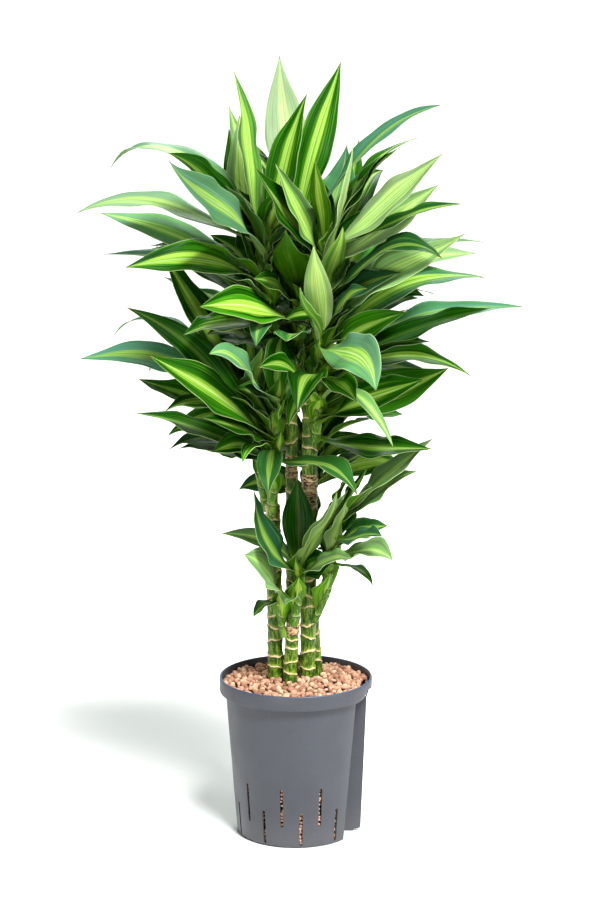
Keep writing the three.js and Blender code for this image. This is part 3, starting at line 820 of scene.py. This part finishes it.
def makeStalk(name, path, radiusAt, top, ringsFrom, pitch, flare, bark=None, veer=0.0):
    # the rings follow the path, and each flares towards the scar at its top
    foot = path[0][2]
    stalk = ringedCylinder(name, min(stalkForm["mostCuts"], int((top - foot) / stalkForm["step"] / 2)))
    phases, ages = [], []
    own = sum(ord(letter) for letter in name)
    for vertex in stalk.data.vertices:
        share = vertex.co.z + 0.5
        level = foot + (top - foot) * share
        turn = math.atan2(vertex.co.y, vertex.co.x)
        phase = (level - ringsFrom) / pitch
        ring = math.floor(phase + 0.5)
        start = stalkForm["waveTurn"] * ring
        wave = stalkForm["wave"] * math.sin(turn + start + own) if ring > 0 else 0
        wave += stalkForm["ripple"] * math.sin(3 * turn + ring * stalkForm["rippleShift"])
        wave += veer * (abs(math.sin((turn - start - own) / 2)) - stalkForm["veerMean"])
        phase += wave
        rise = flare * (phase - math.floor(phase)) ** stalkForm["flarePower"] if phase > 0 else 0.0
        lumpTurn = 2 * turn + level * stalkForm["lumpPitch"] + own
        lumps = stalkForm["lump"] * math.sin(lumpTurn) * min(1.0, flare)
        centre = pathPoint(path, level)
        radius = radiusAt(share) + rise + lumps
        offset = Vector((math.cos(turn) * radius, math.sin(turn) * radius, level - centre.z))
        vertex.co = (centre + offset) * mm
        phases.append(phase if phase > 0.5 else 0.5)
        ages.append(barkShare(level, *bark) if bark else 0.0)
    markPoints(stalk, "ringPhase", phases)
    markPoints(stalk, "barkAge", ages)
    raiseCap(stalk)
    mergeDoubles(stalk)
    smoothByAngle(stalk, stalkForm["smooth"])
    return stalk


canePieces = {}
for name, cane in canes.items():
    canePieces[name] = makeStalk(
        name.replace("_", ""), cane["path"], lambda share: cane["radius"],
        cane["path"][-1][2] - stalkForm["capRise"], granules["level"], cane["pitch"], stalkForm["flare"],
        cane["bark"])
    canePieces[name].data.materials.append(finishes["cane"])
caneFeet = [(*pathPoint(cane["path"], pebbleLevel)[:2], cane["radius"]) for cane in canes.values()]
granulePiece, pebbleCount = makeGranules(caneFeet)
print("canes made:", len(canePieces), "| pebbles laid:", pebbleCount)


# leafy shoots: stem, radius at its foot, and one row for each leaf, repeated from the part's source:
# (height on the stem, tip x, tip y, tip z, leaving angle, end angle, width, lean)
# angles are degrees above level; lean turns the upper face towards the front
# fill adds leaves by rule: count, lowest and highest height, length, width, azimuth and spread
shoots = {
    "shoot_left": {
        "stem": [(-27, 3, 384), (-27, -6, 430), (-25, -14, 478), (-21, -20, 528)], "radius": 6.5,
        "blades": [
            (520, -96, -110, 592, 28, -8, 44, 45), (464, -31, -88, 427, 15, -74, 29, 0),
            (458, -60, -70, 460, 50, -80, 18, 0), (449, 69, -130, 436, 6, -46, 42, 14),
            (466, -103, -115, 521, 36, 20, 40, 40), (456, -182, -50, 514, 20, 10, 40, 30),
            (470, -160, -120, 592, 42, 28, 48, 60), (480, -193, -20, 631, 46, 22, 37, 50),
        ],
    },
    "shoot_right": {
        "stem": [(22, 4, 470), (27, -16, 520), (32, -30, 600)], "radius": 6,
        "blades": [
            (578, 20, -70, 709, 88, 80, 31, 0), (592, 5, -55, 659, 85, 85, 15, 0),
            (582, 218, 20, 660, 52, -8, 44, 34), (588, 259, -30, 633, 18, -1, 40, 16),
            (568, 214, -80, 638, 20, 15, 42, 22), (560, 151, -120, 608, 28, 0, 42, 34),
            (552, 201, -10, 550, 20, -35, 37, 30), (498, 173, -60, 568, 30, 30, 50, 62),
            (490, 142, -130, 568, 35, 25, 46, 55), (585, 88, -160, 559, 2, -66, 54, 50),
            (512, 108, -70, 480, 62, -52, 20, 5), (548, 68, -130, 542, 10, -20, 33, 10),
            (473, 156, -30, 469, -10, 2, 40, 30), (512, -41, -110, 577, 56, -6, 34, 36),
            (500, -8, -110, 510, 80, -60, 26, 0), (500, 125, 20, 500, 30, 0, 44, 15),
            (545, 2, -120, 530, 25, -55, 42, 0),
        ],
    },
    "shoot_crown_centre": {
        "stem": [(-1, 34, 500), (4, 28, 600), (0, 18, 722)], "radius": 6,
        "blades": [
            (702, -19, 110, 909, 82, 86, 50, 0), (690, -78, 110, 850, 70, 72, 34, 20),
            (706, 52, 70, 904, 84, 66, 42, 62), (680, 7, 75, 802, 80, 80, 40, 0),
            (690, 30, 40, 763, 65, 60, 31, 30), (630, -11, -60, 724, 80, 85, 44, 0),
            (712, 163, -40, 862, 46, 14, 36, 24), (580, -10, -70, 600, 40, 0, 42, 0),
            (604, -107, -90, 642, 25, 0, 46, 48),
        ],
        "fill": (4, 580, 700, 200, 38, 180, 80),
    },
    "shoot_crown_left": {
        "stem": [(-11, 27, 500), (-30, 18, 600), (-40, 7, 718)], "radius": 5.5,
        "blades": [
            (690, 13, 25, 870, 76, 66, 38, 55), (668, -65, 50, 844, 66, 80, 48, 60),
            (712, -141, -60, 810, 30, 20, 46, 66), (680, -80, 85, 834, 70, 75, 37, 20),
            (648, -191, -60, 682, 40, -8, 42, 44), (655, -169, 50, 693, 28, -5, 40, 25),
            (640, -225, 60, 682, 26, -2, 37, 15), (660, -225, 10, 737, 28, 12, 38, 38),
            (698, -247, -20, 739, 25, -24, 37, 25), (710, -214, 60, 783, 62, -55, 40, 18),
            (682, -134, -110, 799, 48, 38, 48, 75), (645, -77, -50, 766, 68, 62, 37, 40),
            (662, -60, -50, 751, 65, 62, 40, 40), (608, -126, -70, 607, 4, -15, 42, 28),
            (610, -45, -60, 592, 10, -70, 24, 0), (590, -70, -60, 640, 45, 40, 42, 45),
            (590, -120, 80, 640, 40, 20, 44, 25), (706, -70, 70, 886, 76, 74, 42, 40),
        ],
        "fill": (2, 570, 670, 210, 40, 230, 90),
    },
    "shoot_crown_right": {
        "stem": [(22, 14, 520), (31, 10, 600), (34, 12, 712)], "radius": 6,
        "blades": [
            (672, -23, 5, 789, 62, 58, 36, 75), (690, 22, -20, 797, 85, 85, 24, 20),
            (706, 121, 30, 810, 52, 32, 37, 12), (690, 162, -90, 812, 33, 38, 40, 70),
            (668, 160, -40, 773, 42, 40, 42, 60), (690, 184, -60, 752, 20, 6, 30, 24),
            (670, 103, 110, 730, 45, 40, 40, 20), (690, 60, 120, 804, 72, 70, 40, 10),
            (682, 75, 110, 815, 66, 64, 37, 20), (655, 64, 45, 805, 75, 88, 37, 50),
            (622, 162, -110, 699, 50, -30, 42, 38), (588, 187, -60, 718, 58, 33, 48, 50),
            (620, 208, 30, 687, 50, 2, 42, 25), (628, 53, -40, 726, 82, 82, 31, 20),
            (635, 60, -60, 709, 75, 78, 33, 10), (600, 105, 60, 765, 55, 50, 44, 30),
            (668, -45, -60, 795, 58, 56, 44, 65),
        ],
        "fill": (4, 565, 690, 210, 40, 130, 100),
    },
    "shoot_left_back": {
        "stem": [(-33, 21, 384), (-46, 32, 450), (-52, 38, 522)], "radius": 6.5,
        "blades": [
            (505, -39, -10, 584, 85, 85, 37, 10), (520, -254, 60, 558, 26, -12, 42, 30),
            (515, -219, 110, 579, 36, -50, 35, -4), (515, -159, 50, 691, 56, 57, 51, 60),
            (500, -177, 110, 535, 46, -60, 44, 0), (490, -187, 90, 529, 16, 14, 42, 15),
            (490, -152, 40, 469, 12, -40, 40, 30), (503, -151, 0, 507, 10, -28, 37, 30),
        ],
        "fill": (3, 440, 520, 190, 38, 215, 90),
    },
    "shoot_low_left": {
        "stem": [(-14, -4, 238), (-19, -8, 268), (-18, -10, 288)], "radius": 4.5,
        "blades": [
            (280, -58, -75, 355, 72, 25, 48, 68), (278, -49, -30, 269, 40, -62, 20, 0),
        ],
    },
    "shoot_low_front": {
        "stem": [(-3, -5, 252), (4, -12, 290), (3, -17, 330)], "radius": 5.5,
        "blades": [
            (322, 2, -4, 428, 88, 84, 37, 0), (315, -48, -50, 425, 38, 86, 44, 65),
            (320, -87, -20, 365, 66, -4, 21, 60), (300, 0, -40, 344, 88, 88, 15, 0),
            (285, -13, -55, 289, 0, -60, 22, 0), (320, 60, -50, 425, 66, 58, 35, -20),
            (315, 65, -60, 347, 30, 0, 32, 30), (328, 46, -30, 424, 55, 70, 33, 45),
        ],
    },
    "shoot_low_right": {
        "stem": [(21, 10, 252), (37, 6, 290), (42, 3, 330), (48, -2, 378)], "radius": 5,
        "blades": [
            (376, 158, -20, 479, 48, 40, 36, 22), (370, 140, -60, 447, 40, 15, 38, 25),
            (370, 90, -110, 440, 55, 30, 35, 30), (372, 84, 20, 437, 65, 55, 26, -10),
            (330, 58, -50, 413, 86, 60, 33, 30), (356, 98, -90, 380, 4, 0, 32, 30),
            (336, 111, -100, 352, 8, -26, 42, 32), (325, 89, -50, 311, 2, -60, 16, 0),
        ],
    },
    "shoot_back": {
        "stem": [(13, 43, 322), (18, 62, 400), (22, 78, 470)], "radius": 5.5,
        "blades": [],
        "fill": (7, 385, 468, 175, 38, 170, 230),
    },
}


# a narrow clasping foot, widest a little past the middle, and a long point
bladeForm = {"foot": 0.3, "footPower": 4, "widest": 1.1, "point": 1.1}


def widthShare(along):
    belly = max(0.0, math.sin(math.pi * along ** bladeForm["widest"])) ** bladeForm["point"]
    return bladeForm["foot"] * (1 - along) ** bladeForm["footPower"] + belly


def reachedTip(stem, height, azimuth, rise, reach):
    base = pathPoint(stem, height)
    x, y = aroundPoint(azimuth, reach * math.cos(math.radians(rise)))
    return base.x + x, base.y + y, height + reach * math.sin(math.radians(rise))


byRule = {
    "golden": 0.618, "rise": 8, "riseMore": 48, "reach": 0.85, "reachMore": 0.3, "leaving": 25, "ending": -35,
    "lean": 20, "leanMore": -30,
}


def fillRows(stem, draw, count, low, high, length, width, middle, spread):
    rows = []
    for i in range(count):
        share = (i + 0.5) / count
        height = low + (high - low) * share
        azimuth = middle + spread * (((i * byRule["golden"] + 0.5) % 1) - 0.5)
        rise = byRule["rise"] + byRule["riseMore"] * share
        reach = length * (byRule["reach"] + byRule["reachMore"] * draw())
        tip = reachedTip(stem, height, azimuth, rise, reach)
        lean = byRule["lean"] + byRule["leanMore"] * draw()
        rows.append((height, *tip, rise + byRule["leaving"], rise + byRule["ending"], width, lean))
    return rows


def seededDraw(seed):
    state = seed

    def draw():
        nonlocal state
        state = state * 16807 % 2147483647
        return state / 2147483647
    return draw


# the frame's own leaf may be bent forward or back from its row, so its tip is looked up there
bending = {"step": 11, "tries": 26, "drop": 0.17, "near": 0.3}


def seatedRow(row, tips):
    for attempt in range(bending["tries"] + 1):
        shift = (1 if attempt % 2 else -1) * math.ceil(attempt / 2) * bending["step"]
        tip = Vector((row[1], row[2] + shift, row[3] - bending["drop"] * shift))
        if tips.find(tip * mm)[2] < bending["near"] * mm:
            return (row[0], *tip, *row[4:])
    return row


def frameTips(node):
    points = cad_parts[node].data.vertices
    tree = KDTree(len(points))
    for i, point in enumerate(points):
        tree.insert(point.co, i)
    tree.balance()
    return tree


leafForm = {
    "across": 8, "along": 28, "thickness": 0.55, "rootDepth": 1.5, "leaveShare": 0.42, "endShare": 0.38,
    "twist": 22, "trough": 0.22, "flutter": 0.07, "flutterWaves": ((14, 0), (12, 2)), "clasp": 0.8,
    "ripple": 0.032, "ripplePitch": 25, "rippleShift": 2.2, "ripplePower": 4, "ripplePhase": 3,
    "phaseStep": 1.7, "edgePower": 1.5, "turnRate": 3, "footPart": 6, "merge": 0.005,
}
stemForm = {"pitch": 15, "flare": 0.7, "veer": 0.5, "tipShare": 0.55}


def makeLeafBlank():
    clearSelection()
    bpy.ops.mesh.primitive_grid_add(
        x_subdivisions=leafForm["across"], y_subdivisions=leafForm["along"], size=1)
    blank = bpy.context.object
    blank.name = "leafBlank"
    bpy.ops.object.shade_smooth()
    blank.data.materials.append(finishes["upper"])
    blank.data.materials.append(finishes["under"])
    return blank


def shapeLeaf(leaf, stem, row, wavePhase, clasping):
    # the blank is laid along a curve from the stem to the tip, then troughed, fluttered and rippled
    height, tipX, tipY, tipZ, leaving, ending, width, lean = row
    middle, tip = pathPoint(stem, height), Vector((tipX, tipY, tipZ))
    out = Vector((tip.x - middle.x, tip.y - middle.y, 0)).normalized()
    base = middle + out * leafForm["rootDepth"]
    length = (tip - base).length

    def heading(angle):
        return out * math.cos(math.radians(angle)) + Vector((0, 0, math.sin(math.radians(angle))))
    first = base + heading(leaving) * leafForm["leaveShare"] * length
    second = tip - heading(ending) * leafForm["endShare"] * length
    side = out.cross(Vector((0, 0, 1)))
    turnTo = 1 if out.x > 0 else -1

    def ringAt(along):
        rest = 1 - along
        centre = base * rest ** 3 + first * 3 * rest ** 2 * along
        centre = centre + second * 3 * rest * along ** 2 + tip * along ** 3
        course = (first - base) * rest ** 2 + (second - first) * 2 * rest * along
        course = (course + (tip - second) * along ** 2).normalized()
        angle = math.radians(lean) * turnTo * min(leafForm["turnRate"] * along, 1)
        angle += math.radians(leafForm["twist"]) * math.sin(wavePhase) * along ** 2
        turn = Quaternion(course, angle)
        half = width / 2 * widthShare(along)
        flutter = math.sin(math.pi * along) * leafForm["flutter"] * width
        clasp = leafForm["clasp"] * half * max(0.0, 1 - along / clasping) ** 2
        trough = leafForm["trough"] * half
        left, right = (trough + flutter * math.sin(pitch * along + wavePhase + start) + clasp
                       for pitch, start in leafForm["flutterWaves"])
        ripple = leafForm["ripple"] * width * math.sin(math.pi * along)
        return centre, turn @ side, turn @ side.cross(course).normalized(), half, left, right, ripple
    rings = {}
    for vertex in leaf.data.vertices:
        across, along = vertex.co.x * 2, round(vertex.co.y + 0.5, 5)
        if along not in rings:
            rings[along] = ringAt(along)
        centre, sideways, upper, half, left, right, ripple = rings[along]
        share, start = abs(across), 0 if across < 0 else leafForm["rippleShift"]
        rise = (left if across < 0 else right) * share ** leafForm["edgePower"]
        rippleTurn = leafForm["ripplePitch"] * along + leafForm["ripplePhase"] * wavePhase + start
        rise += ripple * share ** leafForm["ripplePower"] * math.sin(rippleTurn)
        vertex.co = (centre + sideways * across * half + upper * rise) * mm
    leaf.data.update()


leafBlank = makeLeafBlank()

# how single leaves look, each from 0 to 1: shade (random tone and painted shade), width of the light band,
# paleness (painted backlight, also paler undersides) and blue sheen (a painted reflection)
looks = {
    "shoot_left": {
        0: (0.6, 0.4, 0.1, 0.6), 1: (0.3, 0.4, 0, 0.2), 3: (0.3, 0.3, 0, 0.15), 4: (0.15, 0.2, 0, 0),
        5: (0.4, 0.2, 0, 0), 6: (0.35, 0.35, 0, 0), 7: (0.1, 0.1, 0, 0),
    },
    "shoot_right": {
        0: (0.65, 1, 0.35, 0), 2: (0.4, 0.4, 0, 0.35), 3: (0.4, 0.2, 0, 0.8), 4: (0.05, 0.05, 0, 0),
        5: (0.3, 0.2, 0, 0), 6: (0.4, 0.3, 0, 0), 7: (0.3, 0.55, 0, 0), 8: (0.2, 0.3, 0, 0),
        9: (0.65, 0.45, 0.1, 0.45), 10: (0.7, 0.5, 0.25, 0.1), 12: (0.25, 0.3, 0, 0), 13: (0.5, 0.3, 0, 0),
    },
    "shoot_crown_centre": {
        0: (0.45, 0.6, 0.7, 0.3), 1: (0.6, 0.8, 0.3, 0), 2: (0.45, 0.45, 0, 0), 3: (0.7, 0.8, 0.5, 0),
        5: (0, 0, 0, 0), 6: (0.45, 0.3, 0, 0.9), 8: (0.55, 0.5, 0, 0),
    },
    "shoot_crown_left": {
        0: (0.45, 0.5, 0, 0), 1: (0.75, 0.85, 0.3, 0), 2: (0.1, 0.15, 0, 0), 3: (0.15, 0.1, 0, 0),
        4: (0.5, 0.5, 0, 0), 5: (0.3, 0.3, 0, 0.1), 6: (0.4, 0.3, 0, 0.6), 7: (0.6, 0.45, 0.2, 0.6),
        8: (0.5, 0.7, 0.35, 0.6), 9: (0.5, 0.55, 0.2, 0.6), 10: (0.3, 0.5, 0.1, 0.8), 11: (0.15, 0.2, 0, 0),
        12: (0.15, 0.2, 0, 0), 13: (0.4, 0.4, 0, 0), 17: (0.65, 0.7, 0.1, 0),
    },
    "shoot_crown_right": {
        0: (0.55, 0.8, 0.15, 0), 1: (0.35, 0.5, 0, 0), 2: (0.35, 0.2, 0, 0), 3: (0.75, 0.95, 0.45, 0),
        4: (0.7, 0.7, 0.45, 0), 5: (0.45, 0.4, 0, 0.1), 7: (0.3, 0.2, 0, 0.5), 8: (0.3, 0.3, 0, 0),
        9: (0.7, 0.9, 0.5, 0), 10: (0.2, 0.25, 0, 0.1), 11: (1.0, 0.7, 0.4, 0.0), 12: (0.6, 0.7, 0.4, 0.2),
        13: (0.6, 0.7, 0.1, 0), 14: (0.6, 0.7, 0.1, 0), 16: (0.2, 0.3, 0, 0),
    },
    "shoot_left_back": {
        1: (0.5, 0.4, 0, 0.75), 2: (0.4, 0.3, 0, 0.6), 3: (0.25, 0.5, 0, 0), 5: (0.3, 0.3, 0, 0),
        6: (0.3, 0.3, 0, 0), 7: (0.4, 0.5, 0, 0),
    },
    "shoot_low_front": {
        0: (0.02, 0.05, 0, 0), 1: (0.25, 0.3, 0, 0.2), 2: (0.4, 0.2, 0.15, 0), 4: (0.5, 0.2, 0.15, 0),
        5: (0.5, 0.3, 0.2, 0), 6: (0.55, 0.2, 0.25, 0), 7: (0.4, 0.3, 0.2, 0),
    },
    "shoot_low_left": {
        0: (0.6, 0.25, 0.3, 0), 1: (0.4, 0.2, 0.1, 0),
    },
    "shoot_low_right": {
        0: (0.5, 0.3, 0.2, 0), 1: (0.5, 0.2, 0.2, 0), 4: (0.55, 0.4, 0.3, 0), 5: (0.25, 0.3, 0, 0.3),
        6: (0.6, 0.3, 0.3, 0), 7: (0.3, 0.2, 0, 0),
    },
}

# more leaves between those of the table, drawn by chance and kept where they touch nothing:
# shoot, count, heights, reach, azimuth from the front and its spread, and the width where it is narrow
narrow = (16, 28)
infill = [
    ("shoot_crown_centre", 16, (505, 620), (50, 110), 180, 210),
    ("shoot_crown_centre", 16, (580, 700), (80, 160), 180, 280),
    ("shoot_crown_left", 18, (530, 690), (70, 160), -130, 200),
    ("shoot_crown_centre", 12, (630, 700), (30, 90), 180, 220),
    ("shoot_crown_centre", 8, (505, 560), (40, 90), 180, 140),
    ("shoot_crown_left", 10, (590, 690), (30, 90), 150, 180),
    ("shoot_crown_left", 10, (600, 680), (35, 80), 110, 100, narrow),
    ("shoot_crown_centre", 10, (560, 680), (35, 80), 180, 360, narrow),
    ("shoot_crown_left", 7, (670, 712), (35, 70), 130, 90, narrow),
    ("shoot_crown_centre", 7, (670, 716), (30, 60), -110, 100, (16, 26)),
    ("shoot_crown_right", 20, (530, 690), (70, 160), 130, 200),
    ("shoot_right", 14, (500, 590), (70, 140), 130, 180),
    ("shoot_left", 12, (440, 525), (60, 125), -130, 180),
    ("shoot_left_back", 14, (440, 520), (70, 150), -140, 220),
    ("shoot_back", 12, (395, 468), (70, 130), 180, 260),
    ("shoot_low_front", 4, (300, 328), (45, 70), 180, 200),
    ("shoot_low_right", 6, (335, 374), (50, 90), 100, 200),
]
# leaves drawn in between get shade values up to 0.35 only, painted shade that sets them back; one in four
# gets a faint painted sheen
drawn = {
    "tries": 30, "rise": 10, "riseMore": 55, "riseJitter": 12, "leaving": (10, 35), "ending": (10, 50),
    "width": (32, 42), "lean": (5, 60), "lightest": 0.35, "band": (0.05, 0.7), "sheens": (0, 0, 0, 0.2),
}


def addLeaf(stem, row, wavePhase, look, clasping=0.16):
    leaf = copyPiece(leafBlank)
    shapeLeaf(leaf, stem, row, wavePhase, clasping)
    for attribute, value in zip(leafLooks, look):
        markPoints(leaf, attribute, [value] * len(leaf.data.vertices))
    return leaf


def anyLook(lightest):
    return dice.uniform(0, lightest), dice.uniform(*drawn["band"]), 0.0, dice.choice(drawn["sheens"])


def surfaceOf(piece, fromPoint=0):
    faces = [tuple(face.vertices) for face in piece.data.polygons if min(face.vertices) >= fromPoint]
    return BVHTree.FromPolygons([vertex.co for vertex in piece.data.vertices], faces)


def bladeOf(leaf):  # the leaf without its foot, which is sunk in the stem
    return surfaceOf(leaf, leafForm["along"] // leafForm["footPart"] * (leafForm["across"] + 1))


def inBox(leaf):
    return all(low <= value <= high for vertex in leaf.data.vertices
               for value, low, high in zip(vertex.co, *cadBox))


def drawnRow(stem, heights, reaches, azimuth, spread, widths=drawn["width"]):
    height = dice.uniform(*heights)
    share = (height - heights[0]) / (heights[1] - heights[0])
    azimuth += spread * (dice.random() - 0.5)
    rise = drawn["rise"] + drawn["riseMore"] * share + jitter(drawn["riseJitter"])
    tip = reachedTip(stem, height, azimuth, rise, dice.uniform(*reaches))
    leaving, ending = rise + dice.uniform(*drawn["leaving"]), rise - dice.uniform(*drawn["ending"])
    return (height, *tip, leaving, ending, dice.uniform(*widths), dice.uniform(*drawn["lean"]))


def fillLeaves(stem, count, rule, placed, otherStems):
    leaves = []
    for _ in range(count):
        for _ in range(drawn["tries"]):
            leaf = addLeaf(stem, drawnRow(stem, *rule), dice.uniform(0, fullTurn), anyLook(drawn["lightest"]))
            blade = bladeOf(leaf)
            if inBox(leaf) and not any(blade.overlap(other) for other in placed + otherStems):
                placed.append(blade)
                leaves.append(leaf)
                break
            bpy.data.objects.remove(leaf)
    return leaves


# short leaf bases that wrap the stem, one above another, each turned on from the last
sheaths = {
    "from": 14, "to": 12, "every": 13, "turn": 137.5, "length": 50, "lean": 9, "rise": 84, "width": 25,
    "clasping": 1.6, "look": (0.2, 0.7),
}


def wrapStem(stem):
    leaves = []
    low, high = stem[0][2] + sheaths["from"], stem[-1][2] - sheaths["to"]
    for i in range(int((high - low) / sheaths["every"])):
        height = low + sheaths["every"] * i
        top = height + sheaths["length"]
        above = pathPoint(stem, top)
        x, y = aroundPoint(sheaths["turn"] * i, sheaths["lean"])
        row = (height, above.x + x, above.y + y, top, sheaths["rise"], sheaths["rise"], sheaths["width"], 0)
        look = (dice.uniform(*sheaths["look"]), dice.uniform(*sheaths["look"]), 0, 0)
        leaves.append(addLeaf(stem, row, 0, look, sheaths["clasping"]))
    return leaves


def makeStem(name, stem, radius):
    stalk = makeStalk(
        name + "Stem", stem, lambda share: radius * (1 - (1 - stemForm["tipShare"]) * share), stem[-1][2],
        stem[0][2], stemForm["pitch"], stemForm["flare"], veer=stemForm["veer"])
    stalk.data.materials.append(finishes["stem"])
    return stalk


def makeFoliage(name, leaves):
    foliage = joinPieces(leaves, name + "Leaves")
    mergeDoubles(foliage, leafForm["merge"], faceOut=False)
    applyModifier(foliage, "SOLIDIFY", thickness=leafForm["thickness"] * mm, offset=0, material_offset=1)
    return foliage


draw = seededDraw(29)
leavesOf, stalkOf = {}, {}
for number, (name, shoot) in enumerate(shoots.items()):
    stem, tips, known = shoot["stem"], frameTips(name), looks.get(name, {})
    rows = shoot["blades"] + (fillRows(stem, draw, *shoot["fill"]) if "fill" in shoot else [])
    leavesOf[name] = []
    for i, row in enumerate(rows):
        wavePhase = leafForm["phaseStep"] * (i + number)
        leavesOf[name].append(addLeaf(stem, seatedRow(row, tips), wavePhase, known.get(i) or anyLook(1.0)))
    stalkOf[name] = makeStem(name, stem, shoot["radius"])
stemSurfaces = {name: surfaceOf(stalk) for name, stalk in stalkOf.items()}
placed = [surfaceOf(cane) for cane in canePieces.values()]
placed += [bladeOf(leaf) for leaves in leavesOf.values() for leaf in leaves]
added = 0
for name, count, *rule in infill:
    otherStems = [surface for other, surface in stemSurfaces.items() if other != name]
    extra = fillLeaves(shoots[name]["stem"], count, rule, placed, otherStems)
    leavesOf[name] += extra
    added += len(extra)
for name, shoot in shoots.items():
    leavesOf[name] += wrapStem(shoot["stem"])
shootPieces = {}
for name, leaves in leavesOf.items():
    pieceName = "leafy" + name.replace("_", " ").title().replace(" ", "")
    shootPieces[name] = joinPieces([makeFoliage(name, leaves), stalkOf[name]], pieceName)
bpy.data.objects.remove(leafBlank)
print("shoots made:", len(shootPieces), "| leaves added between them:", added)


# every piece stands for its node and rides on the one body
dressed = [(potPiece, "pot", "pot"), (granulePiece, "clay_granules", "clay")]
dressed += [(piece, name, "cane") for name, piece in canePieces.items()]
dressed += [(piece, name, "leaf") for name, piece in shootPieces.items()]
for piece, node, slotName in dressed:
    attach(piece, "root")
    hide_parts(node)

# floor and light
whiteLight, coolLight = (255, 254, 250), (246, 255, 250)
studio = {
    "floorRadius": 40, "floorSides": 64, "floorDrop": 0.0003, "floor": (236, 236, 236),
    "sky": 0.17, "backdrop": 1.0,
    "aim": (0, 0, 0.5),  # metres, as are the floor's sizes and the lamps' places
    "sun": {"height": 54, "azimuth": 26, "spread": 18, "power": 6.0, "place": (0, 0, 3)},  # front right
    "lamps": [  # place, size, power, colour
        ((2.3, -1.2, 1.2), 1.2, 27, whiteLight),
        ((-1.1, -2.5, 0.3), 1.4, 26, whiteLight),
        ((0.2, 1.9, 2.2), 1.4, 60, coolLight),
    ],
}


def makeFloor():
    clearSelection()
    bpy.ops.mesh.primitive_circle_add(
        vertices=studio["floorSides"], radius=studio["floorRadius"], fill_type="NGON",
        location=(0, 0, -studio["floorDrop"]))
    floor = bpy.context.object
    floor.name = "paperFloor"
    applyPlace(floor)
    material, _, shader = newMaterial("palePaper", roughness=0.9, specular=0.1)
    setInputs(shader, {"Base Color": tint(*studio["floor"])})
    floor.data.materials.append(material)


def addLight(kind, name, place, power, aim):
    bpy.ops.object.light_add(type=kind, location=place)
    lamp = bpy.context.object
    lamp.name = name
    lamp.data.energy = power
    lamp.rotation_euler = aim.to_track_quat("-Z", "Y").to_euler()
    return lamp


def addLamp(number, place, size, power, colour):
    aim = Vector(studio["aim"]) - Vector(place)
    lamp = addLight("AREA", f"softbox{number}", place, power, aim)
    lamp.data.size = size
    lamp.data.color = tint(*colour)[:3]


def addSun(sun):
    x, y = aroundPoint(sun["azimuth"], math.cos(math.radians(sun["height"])))
    aim = Vector((-x, -y, -math.sin(math.radians(sun["height"]))))
    lamp = addLight("SUN", "softSun", sun["place"], sun["power"], aim)
    lamp.data.angle = math.radians(sun["spread"])


def makeSky():
    world = bpy.data.worlds.new("softSky")
    bpy.context.scene.world = world
    world.use_nodes = True
    seen = addNode(world.node_tree, "LightPath")["Is Camera Ray"]
    strength = seen.step(0, 1, studio["sky"], studio["backdrop"])
    setInputs(world.node_tree.nodes["Background"], {"Color": (1, 1, 1, 1), "Strength": strength})


makeFloor()
addSun(studio["sun"])
for number, lamp in enumerate(studio["lamps"]):
    addLamp(number, *lamp)
makeSky()
bpy.context.scene.view_settings.view_transform = "Standard"
print("floor and lamps placed")
